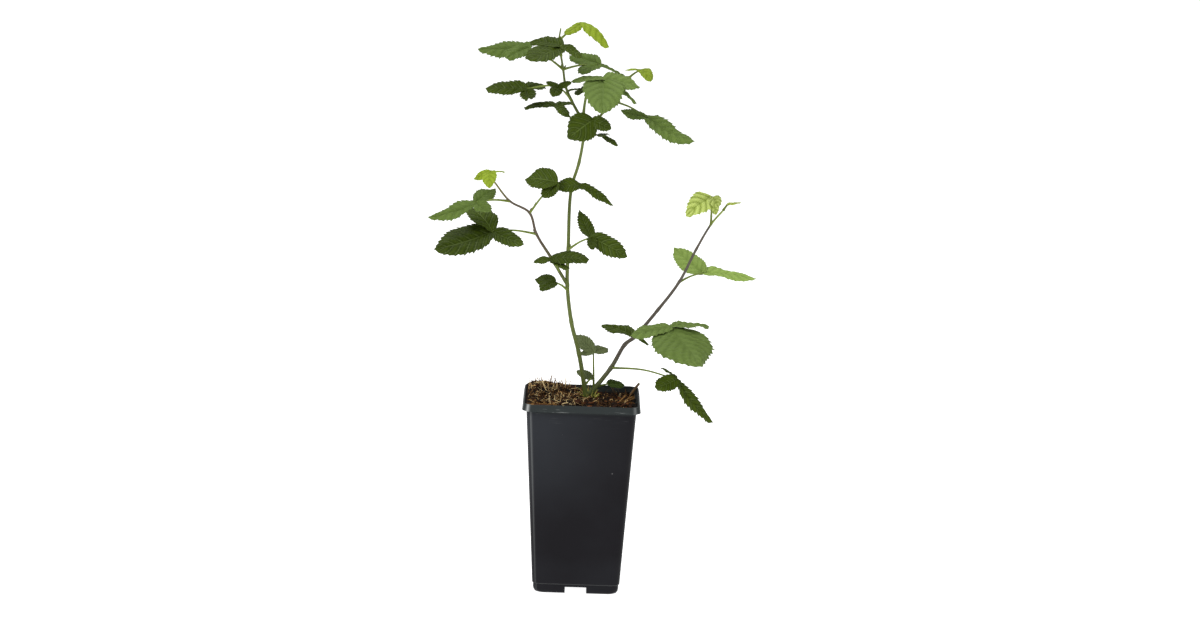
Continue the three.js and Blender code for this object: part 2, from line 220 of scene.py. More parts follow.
def tube_rings(path: Array, radii: Array) -> Array:
    """Carries a ring along a path: centre plus radius times cosine and sine of the turn across it.

    The turn starts from the axis that the path leans on least, laid across the path, so no ring twists.

    Args:
        path: Rows of X, Y and Z.
        radii: Rows and columns of radii.

    Returns:
        Rows, columns and X, Y, Z, with each ring anticlockwise about the way ahead.
    """
    ahead = unit(np.gradient(path, axis=0))
    axis = np.eye(3)[np.argmin(np.abs(ahead.mean(axis=0)))]
    first = unit(axis - (ahead @ axis)[:, None] * ahead)
    second = np.cross(ahead, first)
    turn = np.linspace(0, 2 * np.pi, radii.shape[1], endpoint=False)[:, None]
    across = np.cos(turn) * first[:, None] + np.sin(turn) * second[:, None]
    return path[:, None] + radii[..., None] * across


def curve_points(knots: Array, places: Array) -> Array:
    """Follows a smooth curve: a cubic between knots that are spaced by the root of the gap.

    Args:
        knots: The points that the curve passes through.
        places: Knot numbers, whole or between.

    Returns:
        The curve's points at those places.
    """
    padded = np.vstack([2 * knots[0] - knots[1], knots, 2 * knots[-1] - knots[-2]])
    index = np.clip(np.floor(places).astype(int), 0, len(knots) - 2)
    t = (places - index)[:, None]
    p0, p1, p2, p3 = (padded[index + k] for k in range(4))
    gaps = (p1 - p0, p2 - p1, p3 - p2)
    d0, d1, d2 = (np.sqrt(np.linalg.norm(gap, axis=1))[:, None] for gap in gaps)
    m1 = ((p1 - p0) / d0 - (p2 - p0) / (d0 + d1) + (p2 - p1) / d1) * d1
    m2 = ((p2 - p1) / d1 - (p3 - p1) / (d1 + d2) + (p3 - p2) / d2) * d1
    return p1 + m1 * t + (3 * (p2 - p1) - 2 * m1 - m2) * t ** 2 + (2 * (p1 - p2) + m1 + m2) * t ** 3


@dataclass
class Shell:
    """Gathers closed skins, with their map coordinates, tints and finish numbers, to make one piece."""

    points: list[Array] = field(default_factory=list)
    tints: list[Array] = field(default_factory=list)
    faces: list[Array] = field(default_factory=list)
    maps: list[Array] = field(default_factory=list)
    slots: list[Array] = field(default_factory=list)
    total: int = 0

    def add_points(self, points: Array, tint: float | Array = 0.0) -> int:
        """Adds points with their tint.

        Args:
            points: Any array whose last axis is X, Y and Z in millimetres.
            tint: One tint or one for each point.

        Returns:
            The number of the first new point.
        """
        first, flat = self.total, points.reshape(-1, 3)
        self.points.append(flat)
        self.tints.append(np.broadcast_to(np.ravel(tint), (len(flat),)))
        self.total += len(flat)
        return first

    def add_faces(self, faces: Array, maps: Array, slots: int | Array = 0) -> None:
        """Adds faces that have the same number of corners.

        Args:
            faces: The point numbers of each face.
            maps: Two map coordinates for each corner.
            slots: One finish number or one for each face.
        """
        self.faces.append(faces)
        self.maps.append(maps.reshape(-1, 2))
        self.slots.append(np.broadcast_to(slots, (len(faces),)))

    def add_rings(self, rings: Array, maps: Array | None = None, slots: int | Array = 0,
                  tint: float | Array = 0.0) -> None:
        """Adds a closed skin over a stack of rings: a quad between neighbours and a cap at each end.

        Args:
            rings: Rows, columns and X, Y, Z, with each ring anticlockwise about the way ahead.
            maps: Two map coordinates for each row and for each column and one more. Without them, they
                are the share of the turn and the share of the rows.
            slots: One finish number or one for each column.
            tint: One tint or one for each point.
        """
        rows, columns, _ = rings.shape
        if maps is None:
            maps = even_map(columns, np.linspace(0, 1, rows))
        first = self.add_points(rings, tint)
        i, j = np.meshgrid(np.arange(rows - 1), np.arange(columns), indexing="ij")
        k = (j + 1) % columns
        quads = np.stack([i * columns + j, i * columns + k, (i + 1) * columns + k, (i + 1) * columns + j], -1)
        corners = np.stack([maps[i, j], maps[i, j + 1], maps[i + 1, j + 1], maps[i + 1, j]], -2)
        column_slots = np.broadcast_to(slots, (columns,))
        self.add_faces(first + quads.reshape(-1, 4), corners, column_slots[j].ravel())
        ends = np.stack([np.arange(columns)[::-1], (rows - 1) * columns + np.arange(columns)])
        end_maps = np.stack([maps[0, :columns][::-1], maps[-1, :columns]])
        self.add_faces(first + ends, end_maps, column_slots[0])

    def add_tube(self, path: Array, radii: Array, columns: int = 8, slot: int = 0,
                 tint: float = 0.0) -> None:
        """Adds a round tube along a path, or a flattened one where each row of radii has its columns.

        Args:
            path: Rows of X, Y and Z.
            radii: One radius for each row, or rows and columns of radii.
            columns: The points of a round tube's rings.
            slot: The finish number.
            tint: The tint.
        """
        if radii.ndim == 1:
            radii = np.tile(radii[:, None], (1, columns))
        self.add_rings(tube_rings(path, radii), slots=slot, tint=tint)

    def add_blobs(self, blobs: Array, triangles: Array, tint: Array) -> None:
        """Adds many copies of one small closed shape.

        Args:
            blobs: Copies, points and X, Y, Z.
            triangles: The shape's faces.
            tint: One tint for each copy.
        """
        copies, count, _ = blobs.shape
        first = self.add_points(blobs, np.repeat(tint, count))
        faces = (first + np.arange(copies)[:, None, None] * count + triangles).reshape(-1, 3)
        self.add_faces(faces, np.zeros((len(faces), 3, 2)))

    def build(self, name: str, finishes: list[Material], origin: Array) -> Piece:
        """Makes the piece, in metres in the frame.

        Args:
            name: The piece's name.
            finishes: Its materials, by finish number.
            origin: The pot's axis in the frame, in metres.

        Returns:
            The new object, at the origin and unturned.
        """
        points = np.concatenate(self.points) * MM + origin
        corners = np.concatenate([faces.ravel() for faces in self.faces])
        sizes = np.concatenate([np.full(len(faces), faces.shape[1]) for faces in self.faces])
        mesh = bpy.data.meshes.new(name)
        mesh.vertices.add(len(points))
        mesh.vertices.foreach_set("co", points.ravel())
        mesh.loops.add(len(corners))
        mesh.loops.foreach_set("vertex_index", corners)
        mesh.polygons.add(len(sizes))
        mesh.polygons.foreach_set("loop_start", np.concatenate([[0], np.cumsum(sizes)[:-1]]))
        mesh.polygons.foreach_set("material_index", np.concatenate(self.slots))
        mesh.polygons.foreach_set("use_smooth", np.ones(len(sizes), bool))
        mesh.update(calc_edges=True)
        mesh.uv_layers.new(name="Map").data.foreach_set("uv", np.concatenate(self.maps).ravel())
        mesh.attributes.new("tint", "FLOAT", "POINT").data.foreach_set("value", np.concatenate(self.tints))
        for material in finishes:
            mesh.materials.append(material)
        return put(name, mesh)


def even_map(columns: int, along: Array) -> Array:
    """Gives a tube's map coordinates: the share of the turn, and the share of the way along."""
    return np.stack(np.meshgrid(np.linspace(0, 1, columns + 1), along), -1)


# Finishes

class Tone(Enum):
    """Ages of a leaf, and copies that paint light: a greyer one with painted sheen, a darker one with painted
    shade and a lighter broad one with painted light.
    """

    DARK = "mature"
    MID = "grown"
    PALE = "broad"
    LIT_BROAD = "lit_broad"
    GREY = "painted_sheen"
    DEEP = "shaded"
    TIP = "young"
    CREAM = "newest"


@dataclass(frozen=True)
class LeafFinish:
    """Thin waxed bramble leaf: sunk veins paler than the blade on the darker leaves and darker, as painted
    shade in their creases, on the young and paler ones, and painted sheen on its bulges that fades to painted
    shade by the veins.

    Both sides read the leaf's own map, whose X counts side veins and whose Y crosses the blade. Pleats and
    teeth scale the relief of its leaflets.
    """

    name: str
    slot: str
    blade: str
    shade: str
    vein: str
    under: str
    roughness: float
    pleats: float = 1.0
    teeth: float = 1.0

    def top(self) -> Material:
        """Makes the upper side: mottled green, painted sheen on each bulge between side veins that fades to
        painted shade by the veins, rib and side veins in the vein colour from the leaf's own map, and a fine
        net of small veins as bump, drawn coarser than the real 0.6 mm so that it shows.

        Returns:
            The upper side's material.
        """
        material, tree = new_material(self.name)
        place = add(tree, "TexCoord")
        tint = add(tree, "Attribute", {"attribute_name": "tint"}).outputs["Fac"]
        leaf_map = add(tree, "SeparateXYZ", {0: place.outputs["UV"]})
        from_vein = add(tree, "Math", {"operation": "PINGPONG", 0: leaf_map.outputs["X"], 1: 0.5})
        across = add(tree, "Math", {"operation": "SUBTRACT", 0: leaf_map.outputs["Y"], 1: 0.5})
        from_rib = add(tree, "Math", {"operation": "ABSOLUTE", 0: across})
        side_vein = add(tree, "MapRange", {"Value": from_vein, "From Min": 0.12, "From Max": 0.0,
                                           "To Max": 0.576})
        rib = add(tree, "MapRange", {"Value": from_rib, "From Min": 0.026, "From Max": 0.004, "To Max": 0.6})
        vein = add(tree, "Math", {"operation": "MAXIMUM", 0: side_vein, 1: rib})
        mottle = add(tree, "TexNoise", {"Vector": place.outputs["Object"], "Scale": per_metre(9),
                                        "Detail": 4.0, "Roughness": 0.6})
        cloud = add(tree, "MapRange", {"Value": mottle, "From Min": 0.3, "From Max": 0.7})
        # Painted light and shade: each bulge between side veins is lighter in its middle and darker towards
        # the veins, added to the random mottle.
        pleat_light_and_shade = add(tree, "MapRange", {"Value": from_vein, "From Min": 0.05, "From Max": 0.38, "To Max": 0.6})
        raised = add(tree, "Math", {"operation": "MULTIPLY_ADD", 0: cloud, 1: 0.4, 2: pleat_light_and_shade})
        ground = add(tree, "Mix", {"data_type": "RGBA", 0: raised, 6: srgb(self.shade), 7: srgb(self.blade)})
        # The vein colour is darker than the blade on the young and paler leaves: painted shade in the creases
        # along the veins.
        veined = add(tree, "Mix", {"data_type": "RGBA", 0: vein, 6: ground, 7: srgb(self.vein)})
        bright = add(tree, "Math", {"operation": "MULTIPLY_ADD", 0: tint, 1: 0.22, 2: 1.0})
        colour = add(tree, "HueSaturation", {"Color": veined, "Value": bright})
        net = add(tree, "TexVoronoi", {"feature": "DISTANCE_TO_EDGE", "Vector": place.outputs["Object"],
                                       "Scale": per_metre(1.7)})
        groove = add(tree, "MapRange", {"Value": net, "From Max": 0.12})
        bump = add(tree, "Bump", {"Height": groove, "Strength": 0.35, "Distance": 0.12 * MM})
        gloss = add(tree, "MapRange", {"Value": mottle, "To Min": self.roughness + 0.08,
                                       "To Max": self.roughness - 0.06})
        finish_surface(tree, {"Base Color": colour, "Roughness": gloss, "Normal": bump,
                              "Specular IOR Level": 0.07})
        return material

    def under_side(self) -> Material:
        """Makes the lower side: matt, paler and downy, with raised veins in the vein colour, which on the
        young and paler leaves is the painted crease shade.

        Returns:
            The lower side's material.
        """
        material, tree = new_material(f"{self.name}_under")
        place = add(tree, "TexCoord")
        leaf_map = add(tree, "SeparateXYZ", {0: place.outputs["UV"]})
        from_vein = add(tree, "Math", {"operation": "PINGPONG", 0: leaf_map.outputs["X"], 1: 0.5})
        vein = add(tree, "MapRange", {"Value": from_vein, "From Min": 0.08, "From Max": 0.0})
        down = add(tree, "TexNoise", {"Vector": place.outputs["Object"], "Scale": per_metre(1.2),
                                      "Detail": 5.0})
        colour = add(tree, "Mix", {"data_type": "RGBA", 0: vein, 6: srgb(self.under), 7: srgb(self.vein)})
        bump = add(tree, "Bump", {"Height": down, "Strength": 0.3, "Distance": 0.1 * MM})
        finish_surface(tree, {"Base Color": colour, "Roughness": 0.72, "Normal": bump,
                              "Specular IOR Level": 0.12})
        return material


# On the broad, lighter broad, young and newest leaves the vein colour is darker than the blade: painted shade
# in the creases of the sunk veins.
LEAF_FINISHES = {
    Tone.DARK: LeafFinish("mature_leaf", "leaf_dark", "3e4d10", "222e05", "64753a", "556040", 0.44),
    Tone.MID: LeafFinish("grown_leaf", "leaf_mid", "586b30", "495c25", "5c6f35", "707f56", 0.46),
    Tone.PALE: LeafFinish("broad_leaf", "leaf_pale", "65793c", "596c33", "5a6d35", "7c8c60", 0.48),
    # A lighter copy of the broad leaf's colours, with painted light for a leaf that catches more of it, and
    # softer pleats and teeth.
    Tone.LIT_BROAD: LeafFinish("lit_broad_leaf", "leaf_pale", "82994d", "768d43", "71883f", "7c8c60", 0.48, 0.6, 0.6),
    # A greyer copy: painted sheen, the reflected light on leaves seen at a grazing angle.
    Tone.GREY: LeafFinish("painted_sheen_leaf", "leaf_grey", "5b6441", "434d2c", "727d56", "747e60", 0.52),
    # A darker copy with painted shade, for a leaf low under the others.
    Tone.DEEP: LeafFinish("shaded_leaf", "leaf_grey", "2f3f12", "26350d", "4a5c2b", "556040", 0.5),
    Tone.TIP: LeafFinish("young_leaf", "leaf_tip", "7f922a", "70821f", "66771c", "9fac58", 0.44, 1.0, 0.7),
    Tone.CREAM: LeafFinish("newest_leaf", "leaf_tip", "a9b766", "84933f", "6f8032", "a9b570", 0.46, 1.9),
}


class Bark(Enum):
    """Skins of a stem."""

    GREEN = "green"
    SHOOT = "browning"
    CANE = "brown"
    DEAD = "dead"
    STALK = "stalk"


@dataclass(frozen=True)
class StemFinish:
    """Sappy cane bark: smooth and faintly waxed, its colour running from foot to tip with fine streaks.

    Turns are the shares of the way up where the middle's colour begins and ends and the tip's begins.
    """

    name: str
    slot: str
    foot: str
    middle: str
    tip: str
    streak: str
    turns: Triple = (0.35, 0.86, 0.94)

    def material(self) -> Material:
        """Makes the bark from the share along the stem, with streaks about 1 mm wide and 12 mm long.

        Returns:
            The bark's material.
        """
        material, tree = new_material(self.name)
        place = add(tree, "TexCoord")
        stem_map = add(tree, "SeparateXYZ", {0: place.outputs["UV"]})
        rise, fall, end = self.turns
        run = add(tree, "ValToRGB", {"Fac": stem_map.outputs["Y"], "stops": (
            (0.0, self.foot), (rise, self.middle), (fall, self.middle), (end, self.tip))})
        stretch = add(tree, "Mapping", {"Vector": place.outputs["Object"], "Scale": (1.0, 1.0, 0.12)})
        streaks = add(tree, "TexNoise", {"Vector": stretch, "Scale": per_metre(1.4), "Detail": 5.0,
                                         "Roughness": 0.65})
        share = add(tree, "MapRange", {"Value": streaks, "From Min": 0.5, "From Max": 0.75, "To Max": 0.55})
        colour = add(tree, "Mix", {"data_type": "RGBA", 0: share, 6: run, 7: srgb(self.streak)})
        bump = add(tree, "Bump", {"Height": streaks, "Strength": 0.4, "Distance": 0.15 * MM})
        finish_surface(tree, {"Base Color": colour, "Roughness": 0.42, "Normal": bump, "IOR": 1.45,
                              "Specular IOR Level": 0.18})
        return material


STEM_FINISHES = {
    Bark.GREEN: StemFinish("green_stem_skin", "green_stem", "4a5324", "5c6733", "64723a", "3c451f"),
    Bark.SHOOT: StemFinish("shoot_skin", "brown_cane", "55612b", "544a3c", "75743a", "352d27",
                           (0.4, 0.8, 1.0)),
    Bark.CANE: StemFinish("cane_bark", "brown_cane", "525e2a", "514b42", "8e9d52", "322c28",
                          (0.22, 0.9, 0.93)),
    Bark.DEAD: StemFinish("dead_bark", "dead_wood", "49382a", "55432f", "6b6246", "2c2018"),
    Bark.STALK: StemFinish("leaf_stalk_skin", "green_stem", "66742f", "6a7934", "5c692f", "4d5926"),
}


@dataclass(frozen=True)
class PotPlastic:
    """Recycled polypropylene, injection moulded: charcoal with a satin skin, dusty scuffs and specks, painted
    light and painted highlights.
    """

    base: str = "161518"
    cloud_and_painted_light: str = "27292d"
    rim: str = "2b2f2f"
    # This pale colour paints the dusty scuffs and specks, and also the painted highlight lines on the front
    # corners, the rim's corners and the fold above the feet.
    dust_and_highlight: str = "a9abaa"
    rim_fade: Pair = (172.0, 175.0)

    def material(self) -> Material:
        """Makes the plastic: a fine orange-peel bump, painted light that grows up the walls and towards the
        left, painted highlight lines on the front corners and the fold above the feet, dusty lines along the
        rim, and pale specks of dried soil and lime about one millimetre wide. The peel is drawn coarser
        than the real 0.5 mm so that it shows.

        Returns:
            The pot's material.
        """
        material, tree = new_material("pot_polypropylene")
        place = add(tree, "TexCoord").outputs["Object"]
        haze, painted_highlight_line, scuffed = (add(tree, "Attribute", {"attribute_name": name}).outputs["Fac"]
                                 for name in ("haze", "wear", "scuffed"))
        cloud = add(tree, "TexNoise", {"Vector": place, "Scale": per_metre(60), "Detail": 4.0})
        drift = add(tree, "MapRange", {"Value": cloud, "From Min": 0.35, "From Max": 0.65, "To Min": -0.1,
                                       "To Max": 0.1})
        # Painted light: the walls turn lighter upwards and towards the left, added to a random cloud of tone.
        cloud_and_painted_light = add(tree, "Math", {"operation": "ADD", "use_clamp": True, 0: haze, 1: drift})
        body = add(tree, "Mix", {"data_type": "RGBA", 0: cloud_and_painted_light, 6: srgb(self.base), 7: srgb(self.cloud_and_painted_light)})
        height = add(tree, "SeparateXYZ", {0: place}).outputs["Z"]
        at_rim = add(tree, "MapRange", {"Value": height, "From Min": self.rim_fade[0] * MM,
                                        "From Max": self.rim_fade[1] * MM})
        ground = add(tree, "Mix", {"data_type": "RGBA", 0: at_rim, 6: body, 7: srgb(self.rim)})
        long_way = add(tree, "Mapping", {"Vector": place, "Scale": (0.18, 0.18, 2.2)})
        scuff = add(tree, "TexNoise", {"Vector": long_way, "Scale": per_metre(4), "Detail": 6.0,
                                       "Roughness": 0.7})
        lines = add(tree, "MapRange", {"Value": scuff, "From Min": 0.56, "From Max": 0.74})
        dusty = add(tree, "Math", {"operation": "MULTIPLY", 0: lines, 1: scuffed})
        cells = add(tree, "TexVoronoi", {"Vector": place, "Scale": per_metre(11)})
        dots = add(tree, "MapRange", {"Value": cells, "From Min": 0.05, "From Max": 0.035, "To Max": 0.6})
        pick = add(tree, "SeparateColor", {0: cells.outputs["Color"]})
        few = add(tree, "Math", {"operation": "GREATER_THAN", 0: pick, 1: 0.7})
        specks = add(tree, "Math", {"operation": "MULTIPLY", 0: dots, 1: few})
        spots = add(tree, "Math", {"operation": "MAXIMUM", 0: dusty, 1: specks})
        # The painted highlight lines join the dusty scuffs and specks here and take their pale colour.
        dust_and_highlight_marks = add(tree, "Math", {"operation": "MAXIMUM", 0: spots, 1: painted_highlight_line})
        faint = add(tree, "Math", {"operation": "MULTIPLY", 0: dust_and_highlight_marks, 1: 0.6})
        colour = add(tree, "Mix", {"data_type": "RGBA", 0: faint, 6: ground, 7: srgb(self.dust_and_highlight)})
        gloss = add(tree, "MapRange", {"Value": cloud, "To Min": 0.3, "To Max": 0.46})
        rough = add(tree, "Math", {"operation": "MULTIPLY_ADD", 0: dust_and_highlight_marks, 1: 0.35, 2: gloss})
        peel = add(tree, "TexNoise", {"Vector": place, "Scale": per_metre(0.9), "Detail": 2.0})
        bump = add(tree, "Bump", {"Height": peel, "Strength": 0.12, "Distance": 0.1 * MM})
        finish_surface(tree, {"Base Color": colour, "Roughness": rough, "Normal": bump, "IOR": 1.49,
                              "Specular IOR Level": 0.05})
        return material


@dataclass(frozen=True)
class LitterFinish:
    """Loose plant matter: each bit's colour is picked by its tint along a run of browns."""

    name: str
    stops: tuple[tuple[float, str], ...]
    grain: float
    roughness: float = 0.85

    def material(self) -> Material:
        """Makes the finish: the tint picks the colour and a grain of the given size breaks it up.

        Returns:
            The litter's material.
        """
        material, tree = new_material(self.name)
        place = add(tree, "TexCoord").outputs["Object"]
        tint = add(tree, "Attribute", {"attribute_name": "tint"}).outputs["Fac"]
        grain = add(tree, "TexNoise", {"Vector": place, "Scale": per_metre(self.grain), "Detail": 6.0,
                                       "Roughness": 0.7})
        jitter = add(tree, "Math", {"operation": "MULTIPLY_ADD", 0: grain, 1: 0.7, 2: -0.35})
        pick = add(tree, "Math", {"operation": "ADD", 0: jitter, 1: tint})
        colour = add(tree, "ValToRGB", {"Fac": pick, "stops": self.stops})
        bump = add(tree, "Bump", {"Height": grain, "Strength": 0.7, "Distance": 0.4 * MM})
        finish_surface(tree, {"Base Color": colour, "Roughness": self.roughness, "Normal": bump,
                              "Specular IOR Level": 0.1})
        return material


PEAT = LitterFinish("peat_and_bark_fines",
                    ((0.0, "070402"), (0.4, "140b05"), (0.7, "29180b"), (1.0, "4a2e17")), 2.2)
CHIPS = LitterFinish("bark_chips",
                     ((0.0, "0b0603"), (0.4, "26130a"), (0.75, "4e2c16"), (1.0, "7a4d2a")), 1.5)
STRAW = LitterFinish("dry_straw_and_fibre",
                     ((0.0, "2c1a0b"), (0.35, "614220"), (0.7, "a67f4a"), (1.0, "e2ca96")), 3.0, 0.6)
DRY_STALK = LitterFinish("dry_leaf_stalks",
                         ((0.0, "4f5a1e"), (0.4, "8c983a"), (0.7, "b0ac5a"), (1.0, "7d6034")), 4.0, 0.6)


# The plant's named sizes, as in the part's source

class Shape(Enum):
    """Leaflet outlines: a skew that moves the widest place to the stalk, and a power that draws out the
    ends."""

    BLUNT = (0.92, 0.5)
    OVATE = (0.72, 0.62)
    LANCE = (0.86, 0.72)


@dataclass(frozen=True)
class Blade:
    """One leaflet: the heading, rise and length to its tip, and what differs from its leaf."""

    heading: float
    rise: float
    length: float
    face: Pair | None = None
    width: float | None = None
    fold: float | None = None
    curl: float | None = None
    shape: Shape | None = None


@dataclass(frozen=True)
class Leaf:
    """One compound leaf: its node along the stem, stalk, face, leaflet width, curl, tone and leaflets.

    The stalk is its heading, rise and length, and the face is where the upper sides look. Width is a
    share of a leaflet's length, curl is the angle that its rib bends through, and fold is the slope of
    its halves from rib to margin.
    """

    node: float
    stalk: Triple
    face: Pair
    width: float
    curl: float
    tone: Tone
    blades: tuple[Blade, ...]
    fold: float = 0.16
    shape: Shape = Shape.BLUNT


@dataclass(frozen=True)
class Stem:
    """One stem: foot and tip radius, internodes as heading, rise and length, and its leaves.

    It starts at a place of its own, or at a node of its parent. Flare is what the radius gains at its
    foot, and crust is the relief of dead bark as a share of the radius.
    """

    name: str
    radius: Pair
    steps: tuple[Triple, ...]
    bark: Bark
    leaves: tuple[Leaf, ...] = ()
    start: Triple | None = None
    parent: str = ""
    node: float = 0.0
    flare: float = 0.0
    crust: float = 0.0


